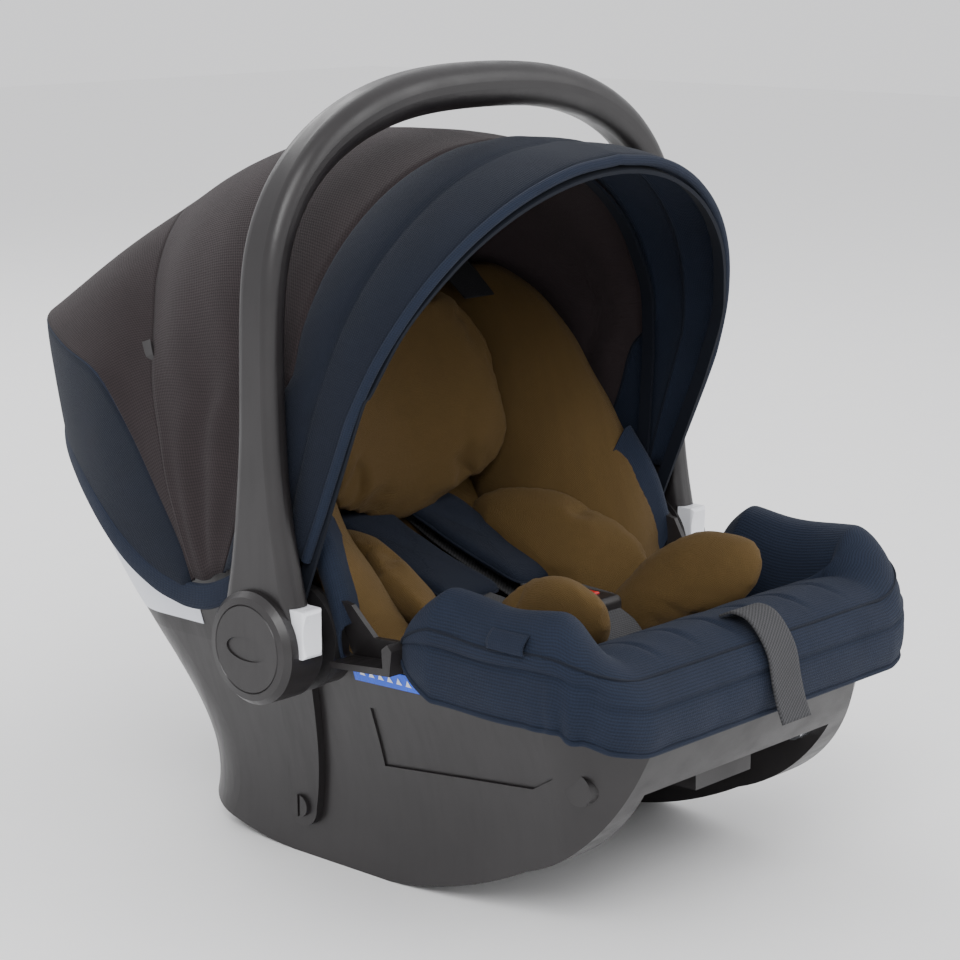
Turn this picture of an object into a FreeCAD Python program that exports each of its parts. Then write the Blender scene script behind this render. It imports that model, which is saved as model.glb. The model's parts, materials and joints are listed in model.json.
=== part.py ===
"""Rear-facing infant car seat (baby carrier): rocker base, bucket shell, swinging carry handle, folding canopy,
padded cover and insert, and a harness.

Millimetres, +Z up, +X to the right, the head end at +Y and the foot end at -Y. Every piece is drawn with the
handle's pivot axis over Y = 0 and set into the frame by its Placement, so that the origin is under the middle of
the whole object, on the floor. Left is -X. The object is symmetric about X = 0.
"""

import FreeCAD, Part

import math
import os

import Sketcher

V = FreeCAD.Vector
doc = FreeCAD.newDocument("infant_car_seat")

# ---------------------------------------------------------------- driving dimensions

SIZES = {
    "frame_shift": -31,  # moves the pivot axis to its place in the frame, along Y
    "pivot_height": 176,
    # shell: plan sections at four heights, each a rectangle with rounded corners
    "seam_height": 148,
    "belt_height": 205,
    "head_height": 400,
    "foot_half_width": 131,
    "seam_half_width": 156,
    "belt_half_width": 172,
    "head_half_width": 166,
    "shell_wall": 4,
    "channel_half_width": 101,
    # handle
    "arm_x": 205,
    "arm_thickness": 19,
    "arm_depth": 32,
    "grip_thickness": 31,
    "grip_height": 531,
    "hub_radius": 38,
    "hub_inner_x": 192,
    "hub_outer_x": 214,
    "hub_face_x": 223,
    "hub_wall": 3,
    # pivots, from the shell outwards
    "pin_radius": 5,
    "running_gap": 0.3,
    "boss_outer_x": 178,
    "ring_radius": 26,
    "bow_thickness": 2.6,
    "lock_ring_radius": 35,
    "lock_ring_depth": 4.2,
    "gear_radius": 17.5,
    "tooth_height": 3,
    "gear_depth": 9,
    # canopy bows
    "bow_width": 10,
    "front_bow_reach": 330,
    "mid_bow_reach": 312,
    "rear_bow_reach": 338,
    "front_bow_lean": 22,
    "mid_bow_lean": 3,
    "rear_bow_lean": -40,
    "cloth_thickness": 2.4,
    # buttons
    "button_width": 17,
    "button_height": 32,
    # rods and small pieces
    "rod_radius": 5,
    "collar_radius": 9,
    "webbing_width": 38,
    "webbing_thickness": 1.8,
}

sheet = doc.addObject("Spreadsheet::Sheet", "Dimensions")
for row, (alias, number) in enumerate(SIZES.items(), start=1):
    sheet.set(f"A{row}", alias.replace("_", " "))
    sheet.set(f"B{row}", str(number))
    sheet.setAlias(f"B{row}", alias)
doc.recompute()


def size(alias):
    """The value of one named cell."""
    return float(sheet.get(alias))


def bind(thing, **expressions):
    """Ties properties to expressions of the sheet's cells, such as Radius="pin_radius + running_gap"."""
    for prop, expression in expressions.items():
        for alias in sorted(SIZES, key=len, reverse=True):
            expression = with_sheet(expression, alias)
        thing.setExpression(prop.replace("__", "."), expression)


def with_sheet(expression, alias):
    """The expression with a bare alias turned into Dimensions.alias."""
    words = expression.replace("(", " ( ").replace(")", " ) ").split(" ")
    return " ".join(f"Dimensions.{w}" if w == alias else w for w in words)


SUBPARTS = []
BUILT = {}
PIVOT = size("pivot_height")


def keep(thing, label):
    """Names a finished sub-part and sets it into the frame."""
    thing.Label = label
    bind(thing, Placement__Base__y="frame_shift")
    SUBPARTS.append(thing)
    return thing


def keep_shape(shape, label):
    """A sub-part whose shape is free-form: a Part::Feature that holds it."""
    BUILT[label] = shape
    feature = doc.addObject("Part::Feature", label)
    feature.Shape = shape.removeSplitter() if len(shape.Solids) == 1 else shape
    return keep(feature, label)


def clear_of(shape, *labels):
    """The biggest solid left of a shape once earlier pieces are cut from it, where it was pressed round them."""
    for label in labels:
        shape = shape.cut(BUILT[label])
    return max(shape.Solids, key=lambda s: s.Volume)


# ---------------------------------------------------------------- outlines and solids

SIDES = {"left": -1, "right": 1}


def yz(points, x=0.0):
    """Points given as (Y, Z) pairs, at one X."""
    return [V(x, y, z) for y, z in points]


def closed_wire(points):
    return Part.makePolygon(points + [points[0]])


def prism(outline, low_x, high_x):
    """A side-view outline of (Y, Z) points, extruded from low_x to high_x."""
    return Part.Face(closed_wire(yz(outline, low_x))).extrude(V(high_x - low_x, 0, 0))


def slice_of(outline, half_width):
    """The same about the middle plane."""
    return prism(outline, -half_width, half_width)


def box(low, high):
    return Part.makeBox(high[0] - low[0], high[1] - low[1], high[2] - low[2], V(*low))


def disc(radius, low_x, high_x, y=0.0, z=PIVOT):
    """A cylinder along X, from low_x to high_x in either order."""
    start = min(low_x, high_x)
    return Part.makeCylinder(radius, abs(high_x - low_x), V(start, y, z), V(1, 0, 0))


def mirrored(shape):
    return shape.mirror(V(0, 0, 0), V(1, 0, 0))


def both_sides(shape):
    """The shape and its mirror image, as separate solids."""
    return Part.makeCompound([shape, mirrored(shape)])


def on_side(shape, sign):
    """A shape drawn for the right-hand side, on either side."""
    return shape if sign > 0 else mirrored(shape)


def rounded_rectangle(half_x, low_y, high_y, z, corner):
    """A horizontal rectangle with round corners: four straight edges and four arcs."""
    edges = []
    centres = [
        (half_x - corner, high_y - corner, 0),
        (-half_x + corner, high_y - corner, 90),
        (-half_x + corner, low_y + corner, 180),
        (half_x - corner, low_y + corner, 270),
    ]
    for x, y, start in centres:
        circle = Part.Circle(V(x, y, z), V(0, 0, 1), corner)
        edges.append(Part.Arc(circle, math.radians(start), math.radians(start + 90)).toShape())
    corners = list(edges)
    for first, second in zip(corners, corners[1:] + corners[:1]):
        edges.append(Part.LineSegment(first.Vertexes[-1].Point, second.Vertexes[0].Point).toShape())
    return Part.Wire(Part.__sortEdges__(edges))


# ---------------------------------------------------------------- the shell's outer form

FRONT_Y = -254


def shell_form(grow):
    """The shell's outer form, grown outwards by grow: narrow at the rockers, wide at the belt path, and leaning
    back to the head end."""
    # height, half width, front, rear, corner radius
    stations = [
        (-1, size("foot_half_width"), FRONT_Y + 8, 170, 42),
        (size("seam_height"), size("seam_half_width"), FRONT_Y + 2, 206, 56),
        (size("belt_height"), size("belt_half_width"), FRONT_Y, 238, 64),
        (340, size("belt_half_width") - 1, FRONT_Y, 322, 140),
        (size("head_height") + 50, size("head_half_width"), FRONT_Y, 391, 140),
    ]
    sections = [
        rounded_rectangle(half + grow, front - grow, rear + grow, z, corner + grow)
        for z, half, front, rear, corner in stations
    ]
    return Part.makeLoft(sections, True, False)


ROCKER_FLAT = (-40, 55)
HEAD_CORNER = (332, 338)
REAR_SEAM = (216, size("seam_height"))
BACK_BULGE = (292, 256)
FRONT_SEAM = (-252, size("seam_height"))


def rocker_profile(rise):
    """The rockers' side view, moved up by rise: a flat to rest on, a long front curve and a short rear one."""
    def at(y, z):
        return V(0, y, z + rise)

    edges = [
        Part.Arc(at(*FRONT_SEAM), at(-222, 80), at(-160, 37)).toShape(),
        Part.Arc(at(-160, 37), at(-104, 13), at(ROCKER_FLAT[0], 0)).toShape(),
        Part.LineSegment(at(ROCKER_FLAT[0], 0), at(ROCKER_FLAT[1], 0)).toShape(),
        Part.Arc(at(ROCKER_FLAT[1], 0), at(112, 7), at(160, 22)).toShape(),
        Part.Arc(at(160, 22), at(175, 32), at(184, 52)).toShape(),
        Part.LineSegment(at(184, 52), at(*REAR_SEAM)).toShape(),
        Part.LineSegment(at(*REAR_SEAM), at(*FRONT_SEAM)).toShape(),
    ]
    return Part.Wire(edges)


def rocker_slab(rise, low_x, high_x):
    face = Part.Face(rocker_profile(rise))
    face.translate(V(low_x, 0, 0))
    return face.extrude(V(high_x - low_x, 0, 0))


# The seat surface in side view, from the front lip down to the seat and up the back to the head end.
SEAT_LINE = [(-262, 172), (-236, 166), (-150, 140), (-80, 120), (20, 104), (60, 110), (246, 376)]
BIGHT = SEAT_LINE[-2]
HEAD_END = SEAT_LINE[-1]
BACK_LENGTH = math.dist(BIGHT, HEAD_END)
BACK_ALONG = ((HEAD_END[0] - BIGHT[0]) / BACK_LENGTH, (HEAD_END[1] - BIGHT[1]) / BACK_LENGTH)
BACK_OUT = (-BACK_ALONG[1], BACK_ALONG[0])


def offset_line(points, distance):
    """A polyline moved to its left by distance, with mitred corners."""
    moved = []
    for i, (y, z) in enumerate(points):
        before = points[max(i - 1, 0)]
        after = points[min(i + 1, len(points) - 1)]
        here = points[i]
        normals = []
        for a, b in ((before, here), (here, after)):
            length = math.dist(a, b)
            if length:
                normals.append((-(b[1] - a[1]) / length, (b[0] - a[0]) / length))
        ny = sum(n[0] for n in normals) / len(normals)
        nz = sum(n[1] for n in normals) / len(normals)
        stretch = distance / (ny * ny + nz * nz)
        moved.append((y + ny * stretch, z + nz * stretch))
    return moved


def layer(low, high, points=SEAT_LINE):
    """The outline of a layer on the seat surface, between two distances from it."""
    return offset_line(points, low) + offset_line(points, high)[::-1]


def above_seat(distance, top=640):
    """Everything over the seat surface, from distance off it."""
    line = offset_line(SEAT_LINE, distance)
    return line + [(line[-1][0] + 300, line[-1][1] + 200), (400, top), (-420, top), (-420, line[0][1])]


def back_point(along, out):
    """A point on the back: so far up it from the seat's angle, and so far out from it."""
    return (
        BIGHT[0] + BACK_ALONG[0] * along + BACK_OUT[0] * out,
        BIGHT[1] + BACK_ALONG[1] * along + BACK_OUT[1] * out,
    )


def back_block(low_along, high_along, low_out, high_out):
    """The side view of a block on the back."""
    return [
        back_point(low_along, low_out),
        back_point(high_along, low_out),
        back_point(high_along, high_out),
        back_point(low_along, high_out),
    ]


def interior(clearance, belly_clearance):
    """The space inside the bucket: wide over the seam, narrow in the belly between the rockers."""
    seam = size("seam_height") + size("shell_wall")
    wide = shell_form(-clearance).common(box((-300, -400, seam), (300, 500, 700)))
    half = size("channel_half_width") - belly_clearance
    return wide.fuse(box((-half, -400, 0), (half, 500, seam + 1)))


# ---------------------------------------------------------------- shell

RIM = [
    (-256, 172), (-236, 190), (-190, 199), (-116, 199), (-92, 186), (-62, 184), (-46, 204), (10, 214),
    (52, 232), (96, 296), (160, 360), (206, 388), (280, 370), HEAD_CORNER,
]


def make_rocker_base():
    """The lower shell: two hollow rockers joined by a front beam and a rear wall."""
    wall = size("shell_wall")
    half = size("channel_half_width")
    seam = size("seam_height")
    solid = shell_form(0).common(rocker_slab(0, -250, 250))
    solid = solid.cut(box((-half, -400, -5), (half, 150, 100)))
    solid = solid.cut(box((-half, -222, 90), (half, 165, seam + 5)))
    trough = shell_form(-wall).common(rocker_slab(wall, -250, 250))
    trough = trough.fuse(trough.translated(V(0, 0, wall)))
    trough = trough.cut(box((-half - wall, -500, -50), (half + wall, 500, 400)))
    panel = slice_of([(-40, 128), (-186, 136), (-196, 112), (-176, 100), (-40, 84)], 260).cut(shell_form(-1.6))
    return keep_shape(solid.cut(trough).cut(panel), "rocker_base")


def make_seat_bucket():
    """The upper shell: side walls, seat pan and back, with a hollow behind the back."""
    wall = size("shell_wall")
    seam = size("seam_height")
    half = size("channel_half_width")
    side_view = [FRONT_SEAM] + RIM + [BACK_BULGE, REAR_SEAM]
    solid = shell_form(0).common(slice_of(side_view, 260))
    belly = offset_line(SEAT_LINE[2:6], -wall)
    belly = [(-180, seam + 1)] + belly + [(0, seam + 1)]
    solid = solid.fuse(slice_of(belly, half - 0.3))
    solid = solid.cut(interior(wall, wall).common(slice_of(above_seat(0), 260)))
    behind = [(108, seam - 1), back_point(BACK_LENGTH - 24, -wall), (276, 360), (340, 334), (300, 262), (230, seam - 1)]
    solid = solid.cut(shell_form(-wall).common(slice_of(behind, 260)))
    bosses = both_sides(disc(36, 150, size("boss_outer_x") - 6))
    inside = shell_form(-wall).common(slice_of([(-80, 100), (80, 100), (80, 300), (-80, 300)], 260))
    lower = shell_form(0.2).common(box((-300, -400, 0), (300, 400, seam)))
    for boss in bosses.Solids:
        solid = solid.fuse(boss.cut(inside).cut(lower))
    plate_seat = disc(37.2, size("boss_outer_x") - 6, size("boss_outer_x") + 6)
    for tool in both_sides(disc(size("pin_radius"), 140, 200).fuse(plate_seat)).Solids:
        solid = solid.cut(tool)
    return keep_shape(clear_of(trim_under_hood(solid), "canopy_rear_bow"), "seat_bucket")


def make_pivot_plates():
    """Round steel-backed plates on the bosses, which the bows and the handle turn against."""
    inner = size("boss_outer_x") - 6
    plate = disc(37, inner, size("boss_outer_x"))
    return keep_shape(both_sides(plate.cut(disc(size("pin_radius"), 100, 260))), "pivot_plates")


def make_pivot_pins():
    """Steel pins through the bosses, the bows' rings and the handle's hubs, each with a head inside the shell."""
    radius = size("pin_radius")
    end = size("hub_outer_x") - size("hub_wall") - 1
    pin = disc(radius, 156, end).fuse(disc(9, 152, 156))
    return keep_shape(both_sides(pin), "pivot_pins")


def toothed_outline(root, tip, teeth, x, width_share=0.5):
    """A closed wire of square-sided teeth about the pivot axis, at one X."""
    points = []
    pitch = 2 * math.pi / teeth
    for i in range(teeth):
        for share, radius in ((0, root), (0.1, tip), (width_share, tip), (width_share + 0.1, root)):
            angle = pitch * (i + share)
            points.append(V(x, radius * math.cos(angle), PIVOT + radius * math.sin(angle)))
    return closed_wire(points)


def toothed_disc(root, tip, teeth, low_x, high_x, width_share=0.5):
    face = Part.Face(toothed_outline(root, tip, teeth, low_x, width_share))
    return face.extrude(V(high_x - low_x, 0, 0))


LOCK_TEETH = 16


def lock_ring_span():
    """Where the lock rings lie along X, outside the three bow rings."""
    inner = size("boss_outer_x") + 3 * (size("bow_thickness") + size("running_gap")) + size("running_gap")
    return inner, inner + size("lock_ring_depth")


def make_lock_rings():
    """Rings, fast on the shell, that the sliding gears reach into. Their inner teeth are left out as a round
    recess, so that the handle can turn with the gears at rest."""
    inner, outer = lock_ring_span()
    ring = disc(size("lock_ring_radius"), inner, outer)
    ring = ring.cut(disc(size("gear_radius") + size("tooth_height") + 0.5, inner + 1, outer + 1))
    ring = ring.cut(disc(size("pin_radius"), 100, 260))
    return keep_shape(both_sides(ring), "lock_rings")


def make_belt_guides():
    """Curled lips over the belt path beside each hub, that keep the lap belt in its recess."""
    outline = [(-92, 167), (-38, 163), (-38, 167), (-86, 171.5), (-85, 184), (-90, 188), (-94, 184)]
    lip = prism(outline, 140, size("belt_half_width") + 12).cut(shell_form(0.05))
    return keep_shape(both_sides(max(lip.Solids, key=lambda s: s.Volume)), "belt_guides")


def make_side_leg(side, sign):
    """A strap-like leg down the shell's side from the hub, with a round foot low on the rocker."""
    top = V(0, 22, 128)
    foot = V(0, 44, 36)
    radius = 15
    blade = Part.Face(closed_wire(yz([(4, 150), (40, 150), (58, 40), (30, 32)]))).extrude(V(260, 0, 0))
    foot_end = Part.makeCylinder(radius, 260, foot, V(1, 0, 0))
    leg = blade.fuse(foot_end).common(shell_form(6))
    leg = leg.cut(shell_form(0.2))
    leg = leg.common(box((60, top.y - 100, foot.z - 40), (260, 140, 150)))
    return keep_shape(clear_of(on_side(leg, sign), "seat_bucket"), f"side_leg_{side}")


def side_x(y, z, grow=0.0):
    """How far out the shell's side is at a point of the side view, found by a ray along X."""
    line = Part.makeLine(V(0, y, z), V(400, y, z))
    return shell_form(grow).common(line).BoundBox.XMax


def make_leg_studs():
    """Slotted caps in the feet of the side legs."""
    y, z = 44, 36
    face = side_x(y, z, 6)
    stud = disc(8, face - 3, face + 3, y, z)
    stud = stud.cut(box((face + 1.5, y - 1.2, z - 9), (face + 5, y + 1.2, z + 9)))
    stud = stud.cut(shell_form(6))
    return keep_shape(both_sides(max(stud.Solids, key=lambda s: s.Volume)), "leg_studs")


def make_rocker_plugs():
    """Round plugs near the front of the rockers."""
    y, z = -214, 108
    face = side_x(y, z)
    plug = disc(10.5, face - 8, face + 2.5, y, z).cut(shell_form(0))
    return keep_shape(both_sides(plug), "rocker_plugs")


# ---------------------------------------------------------------- rods between the rockers

FRONT_ROD = (-214, 96)
REAR_ROD = (120, 62)


def make_rod(label, place):
    """A steel rod across the channel, held in both rockers: a Part::Cylinder bound to the sheet."""
    rod = doc.addObject("Part::Cylinder", label)
    half = size("channel_half_width")
    rod.Placement = FreeCAD.Placement(V(-half, place[0], place[1]), FreeCAD.Rotation(V(0, 1, 0), 90))
    bind(rod, Radius="rod_radius", Height="2 * channel_half_width", Placement__Base__x="0 - channel_half_width")
    rod.setExpression("Placement.Base.y", f"Dimensions.frame_shift + {place[0]}")
    rod.Label = label
    SUBPARTS.append(rod)
    return rod


def make_rod_collars():
    """Turned collars at the rods' ends, against the rockers' inner faces."""
    half = size("channel_half_width")
    collars = []
    for y, z in (FRONT_ROD, REAR_ROD):
        collar = disc(size("collar_radius"), half - 14, half, y, z).cut(disc(size("rod_radius"), 0, 200, y, z))
        collars += [collar, mirrored(collar)]
    return keep_shape(Part.makeCompound(collars), "rod_collars")


def make_rod_bracket():
    """The bracket in the middle of the front rod, that hangs from the front beam."""
    y, z = FRONT_ROD
    block = slice_of([(y - 8, z - 14), (y + 14, z - 14), (y + 14, z + 16), (y - 8, z + 16)], 30)
    block = block.cut(disc(size("rod_radius"), -100, 100, y, z))
    return keep_shape(block, "rod_bracket")


# ---------------------------------------------------------------- handle


def arm_section(x, z, thickness, depth, turn):
    """One cross-section of the handle: a rounded rectangle square to the arch, turned about Y."""
    corner = 0.42 * min(thickness, depth)
    wire = rounded_rectangle(thickness / 2, -depth / 2, depth / 2, 0, corner)
    wire.rotate(V(0, 0, 0), V(0, 1, 0), turn)
    wire.translate(V(x, 0, z))
    return wire


def make_handle_arch():
    """The arch: two arms that flare above the hubs, and a thicker grip over the middle."""
    arm = size("arm_x")
    thick = size("arm_thickness")
    deep = size("arm_depth")
    grip = size("grip_thickness")
    top = size("grip_height")
    # x, z, thickness, depth, turn about Y
    stations = [
        (arm - 1, 186, thick + 1, deep + 42, 0),
        (arm - 1, 222, thick + 1, deep + 26, 0),
        (arm, 262, thick, deep + 12, 0),
        (arm, 320, thick, deep + 2, 0),
        (arm - 1, 390, thick, deep, -4),
        (arm - 9, 440, thick + 2, deep, -20),
        (arm - 34, 481, thick + 5, deep, -48),
        (arm - 74, 509, grip - 3, deep, -66),
        (arm - 124, 525, grip - 1, deep, -78),
        (0, top, grip, deep, -90),
    ]
    right = [arm_section(*s) for s in stations]
    left = [arm_section(-x, z, t, d, -180 - turn) for x, z, t, d, turn in stations[:-1]]
    arch = Part.makeLoft(right + left[::-1], True, False)
    for hub in both_sides(disc(size("hub_radius") + 0.01, 150, 260).fuse(hub_pocket())).Solids:
        arch = arch.cut(hub)
    return keep_shape(arch.removeSplitter(), "handle_arch")


def hub_pocket():
    """The opening in a hub's rim that the release button slides in, facing the foot end."""
    half = size("button_width") / 2 + 0.4
    tall = size("button_height") / 2 + 0.4
    middle = (size("hub_inner_x") + size("hub_outer_x")) / 2
    lean = 14
    slot = box((middle - half, -60, PIVOT - tall + lean), (middle + half, -22, PIVOT + tall + lean))
    return slot


def make_handle_hub(side, sign):
    """A round cup at the foot of each arm, with the lock gear and the button inside it."""
    inner, outer = size("hub_inner_x"), size("hub_outer_x")
    wall = size("hub_wall")
    cup = disc(size("hub_radius"), inner, outer)
    cup = cup.cut(disc(size("hub_radius") - wall, inner + wall, outer - wall))
    cup = cup.cut(toothed_disc(size("gear_radius") + 0.5, size("gear_radius") + 0.5 + size("tooth_height"),
                               LOCK_TEETH, inner - 1, inner + wall + 1, 0.56))
    cup = cup.cut(hub_pocket())
    cup = cup.cut(disc(size("pin_radius") + 0.05, inner - 1, outer + 1))
    return keep_shape(on_side(cup, sign), f"handle_hub_{side}")


def hub_cover_body(side, sign):
    """The outer disc of a hub: turned, with a fine groove and a blank oval recess in its face."""
    body = doc.addObject("PartDesign::Body", f"hub_cover_{side}")
    plane = origin_plane(body, "XZ_Plane")
    section = body.newObject("Sketcher::SketchObject", f"hub_cover_section_{side}")
    section.AttachmentSupport = [(plane, "")]
    section.MapMode = "FlatFace"
    outer, face, radius = size("hub_outer_x"), size("hub_face_x"), size("hub_radius")
    profile = [(outer + 3.4, 0), (outer + 3.4, 8.5), (outer, 8.5), (outer, radius), (outer + 4, radius), (face - 0.8, radius - 3.5), (face, radius - 8),
               (face - 0.7, radius - 8.6), (face, radius - 9.2), (face, 0)]
    add_outline(section, [(sign * x, PIVOT + r) for x, r in profile])
    spin = body.newObject("PartDesign::Revolution", f"hub_cover_turned_{side}")
    spin.Profile = section
    axis = body.newObject("Sketcher::SketchObject", f"hub_axis_{side}")
    axis.AttachmentSupport = [(plane, "")]
    axis.MapMode = "FlatFace"
    axis.addGeometry(Part.LineSegment(V(0, PIVOT, 0), V(sign * 100, PIVOT, 0)), False)
    spin.ReferenceAxis = (axis, ["Edge1"])
    spin.Angle = 360
    doc.recompute()
    oval = body.newObject("Sketcher::SketchObject", f"hub_oval_{side}")
    oval.AttachmentSupport = [(origin_plane(body, "YZ_Plane"), "")]
    oval.MapMode = "FlatFace"
    oval.AttachmentOffset = FreeCAD.Placement(V(0, 0, sign * (face - 1.2)), FreeCAD.Rotation())
    oval.addGeometry(Part.Ellipse(V(0, PIVOT, 0), 19, 8), False)
    recess = body.newObject("PartDesign::Pocket", f"hub_recess_{side}")
    recess.Profile = oval
    recess.Length = 5
    recess.Reversed = sign > 0
    doc.recompute()
    body.Tip = recess
    return keep(body, f"hub_cover_{side}")


def origin_plane(body, role):
    return next(o for o in body.Origin.OriginFeatures if o.Role == role)


def add_outline(sketch, points):
    """A closed outline of straight edges in a sketch."""
    for a, b in zip(points, points[1:] + points[:1]):
        sketch.addGeometry(Part.LineSegment(V(a[0], a[1], 0), V(b[0], b[1], 0)), False)


def make_hub_screws():
    """A pan-head screw in the end of each pivot pin, that keeps the hub on it, under the hub's cover."""
    end = size("hub_outer_x") - size("hub_wall") - 1
    screw = disc(3.5, end, end + 4.3).fuse(disc(8, end + 4.3, end + 7))
    return keep_shape(both_sides(screw), "hub_screws")


def make_release_button(side, sign):
    """The white button in the hub's rim, pressed towards the axle to free the handle."""
    middle = (size("hub_inner_x") + size("hub_outer_x")) / 2
    lean = 14
    half = size("button_width") / 2
    tall = size("button_height") / 2
    body = box((middle - half, -38, PIVOT - tall + lean), (middle + half, -28.5, PIVOT + tall + lean))
    cap = box((middle - half, -43, PIVOT - tall + lean), (middle + half, -30, PIVOT + tall + lean))
    cap = cap.makeFillet(3.0, [e for e in cap.Edges if abs(e.CenterOfMass.y + 43) < 1])
    hollow = Part.makeCylinder(60, 100, V(middle - 50, -101.5, PIVOT + lean), V(1, 0, 0))
    button = body.fuse(cap).cut(hollow)
    return keep_shape(on_side(button.removeSplitter(), sign), f"release_button_{side}")


def make_button_spring(side, sign):
    """The spring behind a button, as the tube that its coils fill."""
    start = V(size("hub_outer_x") - size("hub_wall") - 4.5, -28.4, PIVOT + 14)
    spring = Part.makeCylinder(3, 18, start, V(0, 1, 0)).cut(Part.makeCylinder(2.1, 18, start, V(0, 1, 0)))
    return keep_shape(on_side(spring, sign), f"button_spring_{side}")


def make_lock_gear(side, sign):
    """The sliding gear, half in the shell's lock ring and half in the handle's hub."""
    inner = lock_ring_span()[0] + 1.3
    gear = toothed_disc(size("gear_radius"), size("gear_radius") + size("tooth_height"), LOCK_TEETH,
                        inner, inner + size("gear_depth"))
    gear = gear.cut(disc(size("pin_radius") + 0.05, 100, 260))
    return keep_shape(on_side(gear, sign), f"lock_gear_{side}")


# ---------------------------------------------------------------- canopy

ARCH_CENTRE = 150
ARCH_HALF_WIDTH = 187


def crown_points(reach, half_width, square=2.0):
    """An arch's crown, from leg to leg: half an ellipse, or a squarer curve where square is over 2."""
    steps = 8
    points = []
    for i in range(steps + 1):
        angle = math.pi / 2 * i / steps
        across = math.cos(angle) ** (2 / square) if i < steps else 0.0
        points.append((half_width * across, ARCH_CENTRE + (reach - ARCH_CENTRE) * math.sin(angle) ** (2 / square)))
    return points + [(-x, r) for x, r in points[-2::-1]]


def hub_point(x, reach, lean):
    """A point at a distance from the pivot axis, in the plane that leans forward by lean degrees."""
    angle = math.radians(lean)
    return V(x, -reach * math.sin(angle), PIVOT + reach * math.cos(angle))


def arch_edges(reach, lean, half_width, foot_reach, square=2.0):
    """A leg, the crown as one smooth curve, and the other leg."""
    crown = [hub_point(x, r, lean) for x, r in crown_points(reach, half_width, square)]
    feet = [hub_point(x, foot_reach, lean) for x in (half_width, -half_width)]
    up = hub_point(0, 1, lean).sub(hub_point(0, 0, lean))
    curve = Part.BSplineCurve()
    curve.interpolate(Points=crown, InitialTangent=up, FinalTangent=up.multiply(-1))
    return [Part.makeLine(feet[0], crown[0]), curve.toShape(), Part.makeLine(crown[-1], feet[1])]


def arch_wire(reach, lean, grow, foot_reach=40.0, half_width=ARCH_HALF_WIDTH, square=2.0):
    """A closed wire of a canopy arch and the chord between its feet, grown outwards by grow."""
    edges = arch_edges(reach + grow, lean, half_width + grow, foot_reach, square)
    chord = Part.makeLine(edges[-1].Vertexes[-1].Point, edges[0].Vertexes[0].Point)
    return Part.Wire(edges + [chord])


def canopy_solid(stations, grow, foot_reach=40.0):
    """A closed solid between arches at several leans."""
    return Part.makeLoft([arch_wire(reach, lean, grow, foot_reach) for reach, lean in stations], True, False)


def make_bow(label, reach_alias, lean_alias, order):
    """A flat spring-steel or plastic bow with a ring at each foot that turns on the pivot pin."""
    reach, lean = size(reach_alias), size(lean_alias)
    thick, half = size("bow_thickness"), size("bow_width") / 2
    inner_x = size("boss_outer_x") + size("running_gap") + order * (thick + size("running_gap"))
    outer_x = inner_x + thick
    foot = 20
    outside = Part.Face(Part.Wire(arch_wire(reach, 0, 0, foot, outer_x).Edges))
    inside = Part.Face(Part.Wire(arch_wire(reach - thick, 0, 0, foot - 10, inner_x).Edges))
    face = outside.cut(inside).Faces[0]
    face.translate(V(0, -half, 0))
    bow = face.extrude(V(0, 2 * half, 0))
    for sign in (-1, 1):
        bow = bow.fuse(disc(size("ring_radius"), sign * inner_x, sign * outer_x))
    for sign in (-1, 1):
        bow = bow.cut(disc(size("pin_radius") + 0.05, sign * 170, sign * 200))
    bow.rotate(V(0, 0, PIVOT), V(1, 0, 0), lean)
    return keep_shape(bow.removeSplitter(), label)


def make_canopy_cloth(label, stations):
    """A cloth panel of the canopy between two bows: outside surface less inside surface."""
    gap = 1.2
    cloth = size("cloth_thickness")
    outer = canopy_solid(stations, gap + cloth, 70)
    inner = canopy_solid([(r, a) for r, a in stations], gap, 30)
    panel = outer.cut(inner)
    panel = max(panel.Solids, key=lambda s: s.Volume)
    return keep_shape(panel, label)


def rear_space(grow):
    """The space under the canopy's fixed rear, which rounds off from the rear bow to the shell's head end."""
    arches = [arch_wire(size("rear_bow_reach") + 2.5, -40, grow, 30), arch_wire(396, -62, grow, 30, 190, 3.6),
              arch_wire(420, -100, grow, 30, 190, 3.6)]
    rounded = Part.makeLoft(arches, True, True)
    side_view = [(20, 100), (44, 226), (216, 440 + grow), (262, 412 + 1.4 * grow), (338 + grow / 2, 356 + grow),
                 (352 + grow, 345), (360, 100)]
    return rounded.common(shell_form(9 + grow)).common(slice_of(side_view, 260))


def trim_under_hood(shape):
    """Takes off what would stand through the canopy over the head end."""
    block = box((-300, 40, 236), (300, 420, 600))
    return shape.cut(block.cut(rear_space(-2).fuse(under_canopy())))


def make_canopy_rear():
    """The fixed rear of the canopy: a cap over the shell's head end, from the rear bow down to its hem."""
    hem = [(0, 90), (0, 215), (64, 200), (110, 186), (152, 176), (212, 199), (300, 262), (500, 300), (500, 90)]
    cap = rear_space(size("cloth_thickness")).cut(rear_space(0)).cut(slice_of(hem, 300))
    mouth = Part.makeLoft([arch_wire(size("rear_bow_reach") - 3, lean, 0, 30) for lean in (-36, -44)], True, True)
    cap = cap.cut(mouth)
    return keep_shape(max(cap.Solids, key=lambda s: s.Volume), "canopy_rear_panel")


def under_canopy():
    """The space that the canopy leaves for what lies in the seat."""
    wires = [arch_wire(reach, lean, -10, 10) for reach, lean in ((308, 30), (300, 3), (300, -36), (306, -60))]
    return Part.makeLoft(wires, True, False)


# ---------------------------------------------------------------- soft goods in the bucket


def adjuster_pocket():
    """The opening in the foam and the cover round the harness adjuster."""
    return slice_of([(-224, 140), (-188, 140), (-188, 210), (-224, 210)], 21)


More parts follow.
